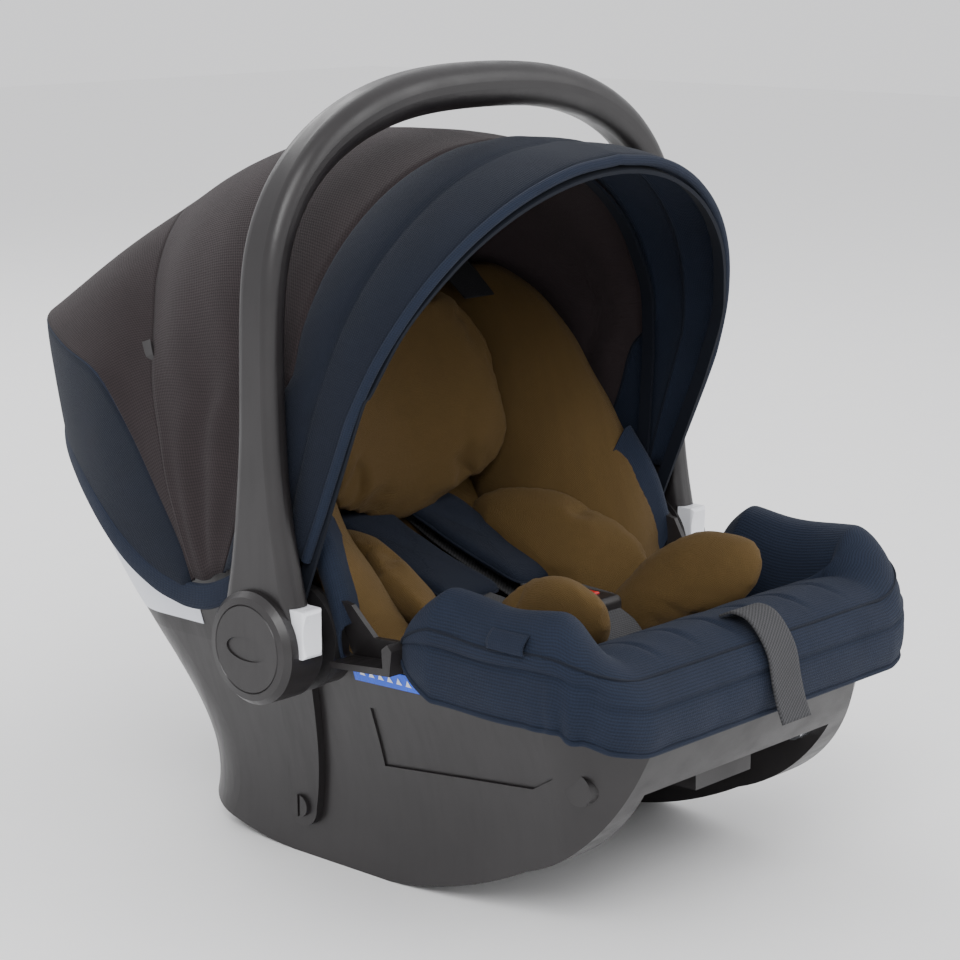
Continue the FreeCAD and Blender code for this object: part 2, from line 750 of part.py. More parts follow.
def make_eps_liner():
    """The energy-absorbing foam on the seat pan and back."""
    foam = slice_of(layer(0.5, 15), 260).common(interior(size("shell_wall") + 1, size("shell_wall") + 1))
    foam = trim_under_hood(foam).cut(adjuster_pocket())
    return keep_shape(clear_of(foam, "pivot_pins"), "eps_liner")


def make_seat_cover():
    """The washable cover: a layer over the foam, and a skin up the bucket's walls."""
    wall = size("shell_wall")
    floor = slice_of(layer(15.5, 20), 260).common(interior(wall + 0.6, wall + 1))
    rim = [(y, z + 7) for y, z in RIM[3:12]]
    skin_view = [back_point(0, 16), back_point(BACK_LENGTH - 6, 16)] + rim[::-1] + [(-100, 160)]
    skin = shell_form(-wall - 0.6).cut(shell_form(-wall - 4)).common(slice_of(skin_view, 260))
    cover = trim_under_hood(floor.fuse(skin)).cut(adjuster_pocket())
    return keep_shape(clear_of(cover, "pivot_pins", "eps_liner", "canopy_rear_bow", "seat_bucket"), "seat_cover")


FOOT_TOP = [(-74, 196), (-96, 212), (-130, 222), (-190, 230), (-236, 224), (-264, 204)]
FOOT_HEM = [(-268, 150), (-240, 160), (-130, 163), (-96, 176)]


def make_foot_cover():
    """The padded foot end: two wings over the bucket's front corners and a roll across the front."""
    outer = shell_form(9).common(slice_of(FOOT_TOP + FOOT_HEM, 260))
    shell = shell_form(0.4).common(slice_of([(-400, 0), (-40, 0), (-40, 190)] + [(y, z + 1) for y, z in RIM[5::-1]]
                                            + [(-400, 172)], 260))
    hollow_view = [(-400, 186), (-262, 189), (-234, 192), (-170, 172), (-60, 150), (-40, 400), (-400, 400)]
    hollow = shell_form(-28).common(slice_of(hollow_view, 260))
    mouth = slice_of([(-400, 187), (-240, 191), (-240, 400), (-400, 400)], size("belt_half_width") - 52)
    under = interior(size("shell_wall") - 0.5, 0).common(slice_of([(-400, 80), (-40, 80), (-40, 200), (-80, 150),
                                                                   (-150, 158), (-225, 178), (-400, 182)], 260))
    cover = outer.cut(shell).cut(hollow).cut(mouth).cut(under)
    cover = clear_of(cover, "belt_guides", "eps_liner", "seat_cover", "adjuster_strap", "adjuster_body")
    return keep_shape(cover, "foot_cover")


def make_insert_body():
    """The newborn insert's middle: a quilted layer on the seat and up the back."""
    line = SEAT_LINE[2:6] + [back_point(BACK_LENGTH - 24, 0)]
    insert = slice_of(layer(20.5, 36, line), 94)
    harness = [f"shoulder_{piece}_{side}" for piece in ("pad", "strap") for side in SIDES]
    return keep_shape(clear_of(insert, "buckle_body", "crotch_strap", "buckle_tongues", *harness), "insert_body")


def make_side_bolster(side, sign):
    """A thick side wing of the insert, from the hips to the crown."""
    outline = [
        (-92, 148), (24, 128), back_point(8, 21), back_point(BACK_LENGTH - 20, 21), (120, 408), (0, 316),
        (-46, 214), (-96, 170),
    ]
    clearance = size("shell_wall") + 5
    bolster = prism(outline, 95, 260).common(interior(clearance, clearance))
    bolster = bolster.cut(prism([(-200, 240), (400, 240), (400, 600), (-200, 600)], 90, 270).cut(under_canopy()))
    bolster = clear_of(on_side(bolster, sign), "eps_liner", "seat_cover", "pivot_pins")
    return keep_shape(bolster, f"side_bolster_{side}")


def make_head_pillow():
    outline = [back_point(84, 37), back_point(258, 37), back_point(258, 58), back_point(236, 82),
               back_point(124, 84), back_point(84, 60)]
    pillow = slice_of(outline, 88)
    edges = [e for e in pillow.Edges if e.Length > 20]
    return keep_shape(pillow.makeFillet(9, edges), "head_pillow")


def make_insert_wing(side, sign):
    """A leaf-shaped hip pad of the insert, standing beside the crotch strap."""
    outline = [(-70, 150), (-96, 196), (-140, 222), (-182, 214), (-178, 186), (-140, 166), (-100, 150)]
    wing = prism(outline, 60, 84)
    edges = [e for e in wing.Edges if e.Length > 20]
    wing = clear_of(on_side(wing.makeFillet(8, edges), sign), "insert_body", "buckle_body")
    return keep_shape(wing, f"insert_wing_{side}")


# ---------------------------------------------------------------- harness

STRAP_X = 36
PAD_TOP = (88, 206)
PAD_FOOT = (-10, 160)


def make_shoulder_pad(side, sign):
    """A padded sleeve on the shoulder strap, from the slot under the pillow down to the lap."""
    half = size("webbing_width") / 2 + 6
    pad = prism(layer(0, 9, [PAD_TOP, PAD_FOOT]), STRAP_X - half, STRAP_X + half)
    edges = [e for e in pad.Edges if e.Length > 20]
    return keep_shape(on_side(pad.makeFillet(3.5, edges), sign), f"shoulder_pad_{side}")


def make_shoulder_strap(side, sign):
    """Webbing on the insert's face, under the pad, down to the buckle's tongue."""
    half = size("webbing_width") / 2
    thick = size("webbing_thickness")
    top, foot = offset_line([PAD_TOP, PAD_FOOT], 9.3)
    line = [(top[0] + 12, top[1] + 5), foot, (foot[0] - 22, foot[1] + 9)]
    strap = prism(layer(0, thick, line), STRAP_X - half, STRAP_X + half)
    return keep_shape(clear_of(on_side(strap, sign), "seat_cover"), f"shoulder_strap_{side}")


def make_hip_strap(side, sign):
    """Webbing from the bucket's side across the lap to the buckle's tongue."""
    half = size("webbing_width") / 2
    start, end = V(94, -50, 172), V(34, -56, 174)
    along = end.sub(start)
    strap = Part.makeBox(along.Length, 2 * half, size("webbing_thickness"))
    strap.translate(V(0, -half, 0))
    turn = FreeCAD.Rotation(V(1, 0, 0), along)
    strap.Placement = FreeCAD.Placement(start, turn).multiply(strap.Placement)
    strap = strap.cut(slice_of(layer(0, 36), 400))
    strap = clear_of(on_side(strap, sign), "buckle_body", "buckle_tongues", f"insert_wing_{side}",
                     f"side_bolster_{side}", f"shoulder_pad_{side}", f"shoulder_strap_{side}")
    return keep_shape(strap, f"hip_strap_{side}")


BUCKLE = (-100, 168)


def make_buckle_body():
    y, z = BUCKLE
    body = box((-24, y - 16, z), (24, y + 44, z + 18))
    body = body.makeFillet(5, [e for e in body.Edges if e.Length > 15])
    body = body.cut(box((-14.3, y - 2.3, z + 10), (14.3, y + 22.3, z + 30)))
    return keep_shape(body, "buckle_body")


def make_buckle_button():
    """The square release button in the buckle's face."""
    y, z = BUCKLE
    button = box((-14, y - 2, z + 12.2), (14, y + 22, z + 19.5))
    button = button.makeFillet(1.5, [e for e in button.Edges if e.CenterOfMass.z > z + 19])
    return keep_shape(button, "buckle_button")


def make_buckle_tongues():
    """The two steel tongues that lock in the buckle's head end."""
    y, z = BUCKLE
    tongue = box((2, y + 44.2, z + 6), (22, y + 62, z + 8.5))
    tongue = tongue.cut(box((6, y + 54, z), (18, y + 58, z + 20)))
    return keep_shape(both_sides(tongue), "buckle_tongues")


def make_crotch_strap():
    """Webbing from the seat pan up to the buckle."""
    half = size("webbing_width") / 2
    y, z = BUCKLE
    thick = size("webbing_thickness")
    strap = slice_of([(y - 36, z + 4), (y - 16.2, z + 6), (y - 16.2, z + 6 + thick), (y - 37, z + 4 + thick)], half)
    return keep_shape(strap, "crotch_strap")


def make_adjuster_strap():
    """The pull strap from the slot in the front cushion, over the front edge and down."""
    thick = size("webbing_thickness")
    line = [(-232, 193.5), (-252, 193), (-268, 187), (-276, 176), (-279, 150)]
    return keep_shape(slice_of(layer(0, thick, line[::-1]), 15), "adjuster_strap")


ADJUSTER_PIN = (-196, 168.5)


def make_adjuster_body():
    """The steel cam housing of the harness adjuster, in the front of the seat pan."""
    body = slice_of([(-222, 178), (-190, 172), (-190, 160), (-222, 165)], 20)
    body = body.cut(slice_of([(-218, 190), (-193, 190), (-193, 163), (-218, 166.5)], 15.3))
    body = body.cut(disc(2.05, -30, 30, *ADJUSTER_PIN))
    return keep_shape(body, "adjuster_body")


def make_adjuster_lever():
    """The lever that lifts the cam off the strap, with its own pin."""
    lever = slice_of([(-217, 175.5), (-196, 170.5), (-196, 167), (-217, 171)], 15)
    return keep_shape(lever.fuse(disc(2, -18, 18, *ADJUSTER_PIN)).removeSplitter(), "adjuster_lever")


def make_splitter_plate():
    """The steel plate behind the back that joins the shoulder straps to the pull strap."""
    plate = slice_of(back_block(70, 100, -24, -21.5), 38)
    plate = plate.cut(slice_of(back_block(78, 92, -28, -18), 14))
    return keep_shape(plate, "splitter_plate")


# ---------------------------------------------------------------- labels and fasteners


def skin_patch(outline, out_low, out_high):
    """A thin patch on the shell's right-hand side."""
    patch = prism(outline, 60, 260).common(shell_form(out_high)).cut(shell_form(out_low))
    return max(patch.Solids, key=lambda s: s.Volume)


def make_belt_labels():
    """The blue labels that mark the belt path."""
    return keep_shape(both_sides(skin_patch([(-94, 150), (-34, 148), (-34, 160), (-94, 162)], 0.1, 0.9)),
                      "belt_labels")


def make_care_labels():
    """The pale labels on the shell's flanks that show under the canopy's hem."""
    outline = [(112, 160), (180, 160), (236, 222), (236, 250), (160, 200), (112, 186)]
    return keep_shape(both_sides(skin_patch(outline, 0.1, 0.6)), "care_labels")


def make_head_tag():
    """A small cloth tag at the head end of the right-hand bolster."""
    tag = prism([(70, 374), (106, 402), (105, 403.2), (69, 375.2)], 98, 134)
    return keep_shape(tag, "head_tag")


def make_side_tabs():
    """Cloth tabs at the outer edge of the foot end's wings."""
    x = size("belt_half_width") + 8
    tab = clear_of(box((x, -206, 212), (x + 8, -176, 216)), "foot_cover")
    return keep_shape(both_sides(tab), "side_tabs")


def make_shell_screws():
    """Screws up through the rockers' inner flanges that join the base to the bucket."""
    screws = []
    for y in (-190, -60, 60, 150):
        head = Part.makeCylinder(4.5, 3, V(110, y, size("seam_height") - 4), V(0, 0, 1))
        screws += [head, mirrored(head)]
    return keep_shape(Part.makeCompound(screws), "shell_screws")


# ---------------------------------------------------------------- the assembly

make_rocker_base()
make_bow("canopy_rear_bow", "rear_bow_reach", "rear_bow_lean", 0)
make_seat_bucket()
make_pivot_plates()
make_pivot_pins()
make_lock_rings()
make_belt_guides()
make_leg_studs()
make_rocker_plugs()
make_rod("front_rod", FRONT_ROD)
make_rod("rear_rod", REAR_ROD)
make_rod_collars()
make_rod_bracket()
make_handle_arch()
make_hub_screws()
make_bow("canopy_mid_bow", "mid_bow_reach", "mid_bow_lean", 1)
make_bow("canopy_front_bow", "front_bow_reach", "front_bow_lean", 2)
make_canopy_cloth("canopy_main", [(312, 1.5), (322, -12), (332, -25), (338, -38)])
make_canopy_cloth("canopy_visor", [(332, 24), (332, 20.5), (323, 12), (314, 3.5)])
make_canopy_rear()
make_eps_liner()
make_seat_cover()
make_adjuster_strap()
make_adjuster_body()
make_adjuster_lever()
make_foot_cover()
make_buckle_body()
make_buckle_button()
make_buckle_tongues()
make_crotch_strap()
for side, sign in SIDES.items():
    make_shoulder_pad(side, sign)
    make_shoulder_strap(side, sign)
make_insert_body()
make_head_pillow()
make_splitter_plate()
make_belt_labels()
make_care_labels()
make_head_tag()
make_side_tabs()
make_shell_screws()
for side, sign in SIDES.items():
    make_side_leg(side, sign)
    make_handle_hub(side, sign)
    hub_cover_body(side, sign)
    make_release_button(side, sign)
    make_button_spring(side, sign)
    make_lock_gear(side, sign)
    make_side_bolster(side, sign)
    make_insert_wing(side, sign)
    make_hip_strap(side, sign)

doc.recompute()

broken = [o.Label for o in doc.Objects if "Invalid" in o.State or "Error" in o.State]
for subpart in SUBPARTS:
    if subpart.Shape.isNull() or not subpart.Shape.isValid() or not subpart.Shape.Solids:
        broken.append(subpart.Label)
if broken:
    raise RuntimeError(f"these pieces didn't build: {sorted(set(broken))}")

os.makedirs("parts", exist_ok=True)
for subpart in SUBPARTS:
    subpart.Shape.exportStep(f"parts/{subpart.Label}.step")
whole = Part.makeCompound([s.Shape for s in SUBPARTS]).BoundBox
print(f"{len(SUBPARTS)} pieces, X {whole.XMin:.1f} {whole.XMax:.1f}, Y {whole.YMin:.1f} {whole.YMax:.1f}, "
      f"Z {whole.ZMin:.1f} {whole.ZMax:.1f}")
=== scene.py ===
import json
import math

import bpy
import numpy as np
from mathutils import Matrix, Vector
from mathutils.bvhtree import BVHTree


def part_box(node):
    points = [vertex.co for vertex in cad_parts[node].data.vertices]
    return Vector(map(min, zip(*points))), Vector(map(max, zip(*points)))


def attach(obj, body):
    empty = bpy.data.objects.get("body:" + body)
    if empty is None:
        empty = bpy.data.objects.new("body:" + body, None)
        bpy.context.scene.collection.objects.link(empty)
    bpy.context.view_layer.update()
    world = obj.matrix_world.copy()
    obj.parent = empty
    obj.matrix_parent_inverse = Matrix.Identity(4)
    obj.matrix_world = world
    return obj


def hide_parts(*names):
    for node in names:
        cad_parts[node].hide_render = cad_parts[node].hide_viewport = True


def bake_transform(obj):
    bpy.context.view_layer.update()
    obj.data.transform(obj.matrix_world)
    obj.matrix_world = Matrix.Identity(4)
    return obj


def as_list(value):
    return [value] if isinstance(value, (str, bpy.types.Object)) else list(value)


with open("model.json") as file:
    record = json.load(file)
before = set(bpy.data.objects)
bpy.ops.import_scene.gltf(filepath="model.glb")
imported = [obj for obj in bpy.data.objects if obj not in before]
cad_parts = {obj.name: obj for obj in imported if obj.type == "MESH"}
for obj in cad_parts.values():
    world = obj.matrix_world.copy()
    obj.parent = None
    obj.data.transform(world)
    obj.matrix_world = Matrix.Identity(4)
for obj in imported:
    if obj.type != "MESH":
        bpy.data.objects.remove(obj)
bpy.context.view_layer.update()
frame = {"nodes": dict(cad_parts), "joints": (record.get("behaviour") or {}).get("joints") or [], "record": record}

NODES = frame["nodes"]
PIVOT = Vector(next(j for j in frame["joints"] if j["name"] == "handle_swing")["pos_m"])
PIVOT_HEIGHT = PIVOT.z * 1000

# Points are written in millimetres: X to the right, Y from the handle's pivot axis towards the head end, and
# Z up from the floor. at() turns them into the frame's metres.


def at(points):
    """Points of the object, given in millimetres, in the frame's metres."""
    return (np.asarray(points, float) + (0, PIVOT.y * 1000, 0)) / 1000


# ------------------------------------------------------------------ curves and surfaces


def between(a, b, c, d, t):
    """The place a share t of the way from b to c, on a smooth curve past their neighbours a and d."""
    slope = (c - a) * t
    bend = (2 * a - 5 * b + 4 * c - d) * t**2
    turn = (3 * b - a - 3 * c + d) * t**3
    return 0.5 * (2 * b + slope + bend + turn)


def smooth_line(points, count, closed=False):
    """Evenly spaced points on a smooth curve through the given ones."""
    points = np.asarray(points, float)
    if closed:
        points = np.vstack([points[-1:], points, points[:2]])
    else:
        points = np.vstack([2 * points[0] - points[1], points, 2 * points[-1] - points[-2]])
    dense = []
    t = np.linspace(0, 1, 24, endpoint=False)[:, None]
    for a, b, c, d in zip(points, points[1:], points[2:], points[3:]):
        dense.append(between(a, b, c, d, t))
    dense = np.vstack(dense + [points[-2][None]])
    length = np.concatenate([[0], np.cumsum(np.linalg.norm(np.diff(dense, axis=0), axis=1))])
    wanted = np.linspace(0, length[-1], count + 1)[:-1] if closed else np.linspace(0, length[-1], count)
    return np.stack([np.interp(wanted, length, dense[:, i]) for i in range(dense.shape[1])], axis=1)


def smooth_rows(rows, count):
    """More rows between the given ones, so that each column runs along a smooth curve."""
    rows = np.asarray(rows, float)
    padded = np.concatenate([2 * rows[:1] - rows[1:2], rows, 2 * rows[-1:] - rows[-2:-1]])
    made = []
    for place in np.linspace(0, len(rows) - 1, count):
        i = min(int(place), len(rows) - 2)
        t = place - i
        a, b, c, d = padded[i:i + 4]
        made.append(between(a, b, c, d, t))
    return np.array(made)


def spread(line):
    """How far along a line each of its points is."""
    return np.concatenate([[0], np.cumsum(np.linalg.norm(np.diff(line, axis=0), axis=1))])


def surface(name, rows, *materials, wrap=False):
    """A smooth mesh through rows of points in millimetres. Its UV map is in metres, which scales a weave."""
    rows = np.asarray(rows, float)
    n, m = rows.shape[:2]
    if wrap:
        rows = np.concatenate([rows, rows[:, :1]], axis=1)
        m += 1
    across = np.array([spread(row) for row in rows]) / 1000
    along = np.array([spread(rows[:, j]) for j in range(m)]).T / 1000
    columns = m - 1 if wrap else m
    points = at(rows[:, :columns].reshape(-1, 3))
    faces, uvs = [], []
    for i in range(n - 1):
        for j in range(m - 1):
            corners = [(i, j), (i, j + 1), (i + 1, j + 1), (i + 1, j)]
            faces.append([a * columns + b % columns for a, b in corners])
            uvs += [(across[a, b], along[a, b]) for a, b in corners]
    mesh = bpy.data.meshes.new(name)
    mesh.from_pydata(points.tolist(), [], faces)
    layer = mesh.uv_layers.new(name="UVMap")
    layer.data.foreach_set("uv", np.array(uvs).ravel())
    mesh.polygons.foreach_set("use_smooth", [True] * len(faces))
    mesh.update()
    obj = bpy.data.objects.new(name, mesh)
    bpy.context.scene.collection.objects.link(obj)
    for material in materials:
        mesh.materials.append(material)
    return obj


def apply_modifiers(obj):
    """Puts the modifiers' result into the mesh."""
    bpy.context.view_layer.update()
    made = bpy.data.meshes.new_from_object(obj.evaluated_get(bpy.context.evaluated_depsgraph_get()))
    obj.modifiers.clear()
    obj.data = made
    return obj


def thicken(obj, thickness, inner=0, offset=-1):
    """Gives a sheet its thickness, in millimetres, with another of its materials on the inner side."""
    solid = obj.modifiers.new("thickness", "SOLIDIFY")
    solid.thickness = thickness / 1000
    solid.offset = offset
    solid.material_offset = inner
    return apply_modifiers(obj)


def tube(name, line, radius, material, sides=10, closed=False):
    """A round cord or roll along a line of points in millimetres."""
    line = np.asarray(line, float)
    if closed:
        ahead, behind = np.roll(line, -1, axis=0), np.roll(line, 1, axis=0)
    else:
        ahead = np.vstack([line[1:], line[-1:]])
        behind = np.vstack([line[:1], line[:-1]])
    rows = []
    side = None
    for point, before, after in zip(line, behind, ahead):
        forward = Vector(after - before).normalized()
        guide = side or (Vector((0, 0, 1)) if abs(forward.z) < 0.9 else Vector((1, 0, 0)))
        side = (guide - forward * guide.dot(forward)).normalized()
        up = forward.cross(side)
        turn = np.linspace(0, 2 * math.pi, sides, endpoint=False)
        out = [math.cos(a) * np.array(side) + math.sin(a) * np.array(up) for a in turn]
        rows.append([point + radius * way for way in out])
    if closed:
        rows.append(rows[0])
    return surface(name, rows, material, wrap=True)


def ribbon(name, line, half_width, thickness, material, across=(1, 0, 0)):
    """Webbing along a line of points, as wide as given in the direction across."""
    line = smooth_line(line, 40)
    across = np.array(across, float) / np.linalg.norm(across)
    places = np.linspace(-half_width, half_width, 13)
    rows = [[point + across * p for p in places] for point in line]
    return thicken(surface(name, rows, material), thickness, offset=0)


def join(name, pieces):
    """One mesh of several, which keeps their materials."""
    target = pieces[0]
    with bpy.context.temp_override(active_object=target, selected_editable_objects=pieces, object=target,
                                   selected_objects=pieces):
        bpy.ops.object.join()
    target.name = name
    return target


def mirror_points(points):
    points = np.array(points, float)
    points[..., 0] *= -1
    return points


# ------------------------------------------------------------------ materials


def new_material(name, roughness, metallic=0.0, **sockets):
    """A material with its shader, a helper that makes a linked node, and its node tree."""
    material = bpy.data.materials.new(name)
    material.use_nodes = True
    tree = material.node_tree
    shader = tree.nodes["Principled BSDF"]
    shader.inputs["Roughness"].default_value = roughness
    shader.inputs["Metallic"].default_value = metallic
    for socket, value in sockets.items():
        shader.inputs[socket.replace("_", " ")].default_value = value

    def node(kind, links=None, **settings):
        made = tree.nodes.new(kind)
        for key, value in settings.items():
            if hasattr(made, key):
                setattr(made, key, value)
            else:
                made.inputs[key.replace("_", " ")].default_value = value
        for key, source in (links or {}).items():
            tree.links.new(source, made.inputs[key])
        return made

    return material, shader, node, tree


def scaled(node, source, scale):
    """Texture coordinates, times a scale on each axis."""
    mapping = node("ShaderNodeMapping", {"Vector": source})
    mapping.inputs["Scale"].default_value = scale
    return mapping.outputs["Vector"]


def two_tone(node, factor, dark, light):
    mix = node("ShaderNodeMix", {0: factor}, data_type="RGBA")
    mix.inputs[6].default_value = (*dark, 1)
    mix.inputs[7].default_value = (*light, 1)
    return mix.outputs[2]


def shade(colour, factor):
    return tuple(c * factor for c in colour)


def add_bump(node, tree, shader, heights):
    """Bumps one over another, from (height, strength, distance in metres)."""
    normal = None
    for height, strength, distance in heights:
        bump = node("ShaderNodeBump", {"Height": height}, Strength=strength, Distance=distance)
        if normal is not None:
            tree.links.new(normal, bump.inputs["Normal"])
        normal = bump.outputs["Normal"]
    tree.links.new(normal, shader.inputs["Normal"])


def cloth(name, colour, pitch, rib_share=0.5, contrast=0.35, roughness=0.85, sheen=0.12, diagonal=0.0,
          mottle=0.3):
    """Cloth with a weave or a knit rib: two crossed waves on the UV map, whose unit is a metre."""
    material, shader, node, tree = new_material(name, roughness, Sheen_Weight=sheen, Sheen_Roughness=0.5,
                                                Specular_IOR_Level=0.25)
    shader.inputs["Sheen Tint"].default_value = (*[min(1, 0.2 + 3 * c) for c in colour], 1)
    uv = node("ShaderNodeUVMap", uv_map="UVMap").outputs["UV"]
    turned = node("ShaderNodeMapping", {"Vector": uv})
    turned.inputs["Rotation"].default_value = (0, 0, diagonal)
    waves = []
    for axis in ("X", "Y"):
        wave = node("ShaderNodeTexWave", {"Vector": turned.outputs["Vector"]}, wave_type="BANDS",
                    bands_direction=axis, Scale=math.pi / (pitch * 10), Distortion=1.2, Detail=2.0)
        wave.inputs["Detail Scale"].default_value = 400.0
        waves.append(wave.outputs["Fac"])
    weave = node("ShaderNodeMix", {2: waves[0], 3: waves[1]}, data_type="FLOAT")
    weave.inputs[0].default_value = rib_share
    weave = weave.outputs[0]
    coarse = node("ShaderNodeTexNoise", {"Vector": uv}, Scale=28.0, Detail=5.0, Roughness=0.6).outputs["Fac"]
    fibres = node("ShaderNodeTexNoise", {"Vector": uv}, Scale=1400.0, Detail=2.0).outputs["Fac"]
    base = two_tone(node, weave, shade(colour, 1 - contrast), shade(colour, 1 + contrast))
    spots = node("ShaderNodeMapRange", {"Value": coarse}, From_Min=0.3, From_Max=0.7)
    spots.inputs["To Min"].default_value = 1 - 0.6 * mottle
    spots.inputs["To Max"].default_value = 1 + 0.6 * mottle
    tint = node("ShaderNodeMix", {6: base, 7: spots.outputs["Result"]}, data_type="RGBA",
                blend_type="MULTIPLY")
    tint.inputs[0].default_value = 0.55
    tree.links.new(tint.outputs[2], shader.inputs["Base Color"])
    add_bump(node, tree, shader, [(weave, 0.55, 0.0006), (fibres, 0.3, 0.0003), (coarse, 0.12, 0.004)])
    return material


def plastic(name, colour, roughness, grain=0.25, gloss_spots=0.08, wear=0.25):
    """Moulded plastic: a fine spark-eroded grain, uneven gloss, and rubbed lighter patches."""
    material, shader, node, tree = new_material(name, roughness, Specular_IOR_Level=0.5)
    place = node("ShaderNodeTexCoord").outputs["Object"]
    fine = node("ShaderNodeTexNoise", {"Vector": place}, Scale=1500.0, Detail=3.0).outputs["Fac"]
    broad = node("ShaderNodeTexNoise", {"Vector": place}, Scale=18.0, Detail=6.0,
                 Roughness=0.65).outputs["Fac"]
    scuffs = node("ShaderNodeTexNoise", {"Vector": scaled(node, place, (40, 160, 30))}, Scale=1.0, Detail=8.0)
    patch = node("ShaderNodeMapRange", {"Value": broad}, From_Min=0.35, From_Max=0.75)
    base = two_tone(node, patch.outputs["Result"], shade(colour, 1 - 0.4 * wear), shade(colour, 1 + wear))
    tree.links.new(base, shader.inputs["Base Color"])
    gloss = node("ShaderNodeMapRange", {"Value": scuffs.outputs["Fac"]}, From_Min=0.3, From_Max=0.7)
    gloss.inputs["To Min"].default_value = roughness - gloss_spots
    gloss.inputs["To Max"].default_value = roughness + gloss_spots
    tree.links.new(gloss.outputs["Result"], shader.inputs["Roughness"])
    add_bump(node, tree, shader, [(fine, grain, 0.0003), (broad, 0.05, 0.002)])
    return material


def metal(name, colour, roughness):
    """Drawn steel rod with fine lines round it and a little grime."""
    material, shader, node, tree = new_material(name, roughness, metallic=1.0)
    place = node("ShaderNodeTexCoord").outputs["Object"]
    lines = node("ShaderNodeTexNoise", {"Vector": scaled(node, place, (900, 40, 40))}, Scale=1.0, Detail=4.0)
    grime = node("ShaderNodeTexNoise", {"Vector": place}, Scale=60.0, Detail=5.0).outputs["Fac"]
    tree.links.new(two_tone(node, grime, shade(colour, 0.75), colour), shader.inputs["Base Color"])
    add_bump(node, tree, shader, [(lines.outputs["Fac"], 0.15, 0.0002)])
    return material


NAVY = (0.0078, 0.0128, 0.027)
BROWN = (0.034, 0.024, 0.026)
MUSTARD = (0.086, 0.051, 0.015)
CHARCOAL = (0.014, 0.0122, 0.0127)

navy_weave = cloth("navy_weave", NAVY, 0.0016, contrast=0.3)
navy_knit = cloth("navy_knit", NAVY, 0.0022, rib_share=0.3, contrast=0.3)
navy_pad = cloth("navy_pad", shade(NAVY, 0.75), 0.0014, contrast=0.4)
# the navy weave darkened to 0.55: painted shade, used for the hood's inside, the front and middle bows and the
# seam creases
navy_painted_shade = cloth("navy_painted_shade_copy", shade(NAVY, 0.55), 0.0016, contrast=0.3)
brown_weave = cloth("brown_weave", BROWN, 0.0012, contrast=0.18, mottle=0.15)
# the hood lining's brown mesh weave, its colour darkened to 0.55 as painted shade inside the hood
brown_mesh_painted_shade = cloth("brown_lining_painted_shade", shade(BROWN, 0.55), 0.0022, contrast=0.55, sheen=0.15)
mustard_jersey = cloth("mustard_jersey", MUSTARD, 0.0011, contrast=0.12, mottle=0.16, sheen=0.15)
webbing = cloth("webbing_weave", (0.045, 0.045, 0.048), 0.0020, rib_share=0.7, contrast=0.5, diagonal=0.6)
black_tag = cloth("black_tag", (0.012, 0.012, 0.014), 0.0009, contrast=0.3)

shell_plastic = plastic("shell_grain", CHARCOAL, 0.42)
base_plastic = plastic("base_grain", shade(CHARCOAL, 1.05), 0.36, grain=0.18)
handle_plastic = plastic("handle_grain", shade(CHARCOAL, 0.95), 0.36, grain=0.2)
black_plastic = plastic("black_grain", (0.018, 0.017, 0.018), 0.4)
white_plastic = plastic("white_grain", (0.80, 0.81, 0.85), 0.28, grain=0.08, wear=0.06)
red_plastic = plastic("red_grain", (0.50, 0.02, 0.02), 0.3, grain=0.08, wear=0.1)
label_blue = plastic("label_blue", (0.004, 0.090, 0.72), 0.3, grain=0.05, wear=0.05)
label_white = plastic("label_white", (0.72, 0.74, 0.80), 0.4, grain=0.05, wear=0.05)
foam = plastic("foam_beads", (0.75, 0.75, 0.75), 0.8, grain=0.5, wear=0.05)
steel = metal("drawn_steel", (0.62, 0.64, 0.68), 0.22)

SLOT_MATERIALS = {
    "shell_plastic": shell_plastic,
    "base_plastic": base_plastic,
    "handle_plastic": handle_plastic,
    "inner_plastic": black_plastic,
    "button_white": white_plastic,
    "button_red": red_plastic,
    "steel": steel,
    "canopy_cloth": brown_weave,
    "navy_cloth": navy_weave,
    "insert_cloth": mustard_jersey,
    "webbing": webbing,
    "label_blue": label_blue,
    "label_white": label_white,
    "foam": foam,
}


def repaint_nodes():
    """Each CAD node takes the detailed material of its slot."""
    for subpart in frame["record"]["subparts"]:
        node = NODES[subpart["node"]]
        node.data.materials.clear()
        node.data.materials.append(SLOT_MATERIALS[subpart["material_slot"]])


repaint_nodes()
for covered in ("pivot_plates", "adjuster_lever"):
    NODES[covered].data.materials[0] = black_plastic
# the front and middle bows inside the hood take the darkened navy: painted shade
NODES["canopy_front_bow"].data.materials[0] = navy_painted_shade
NODES["canopy_mid_bow"].data.materials[0] = navy_painted_shade
# the rear bow inside the hood takes the darkened brown mesh: painted shade
NODES["canopy_rear_bow"].data.materials[0] = brown_mesh_painted_shade


def place(obj, body, slot, *nodes):
    """A finished piece: it rides on a body, and stands for CAD nodes."""
    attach(obj, body)
    if nodes:
        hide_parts(*nodes)
    return obj


# ------------------------------------------------------------------ hood

HOOD_HALF_WIDTH = 189.0
HOOD_CLOTH = 1.8
ARCH_CENTRE = 150.0


def leaning(x, reach, lean):
    """A point at a distance from the pivot axis, leaning forward by some degrees."""
    angle = math.radians(lean)
    return (x, -reach * math.sin(angle), PIVOT_HEIGHT + reach * math.cos(angle))


def arch(lean, reach, legs, half_width=HOOD_HALF_WIDTH):
    """Half a bow's arch, from its top to its foot: a quarter ellipse, then a leg given as (reach, lean)."""
    rib = []
    for degrees in (90, 76, 62, 48, 34, 20, 8):
        turn = math.radians(degrees)
        height = ARCH_CENTRE + (reach - ARCH_CENTRE) * math.sin(turn)
        rib.append(leaning(half_width * math.cos(turn), height, lean))
    return rib + [leaning(half_width, r, a) for r, a in legs]


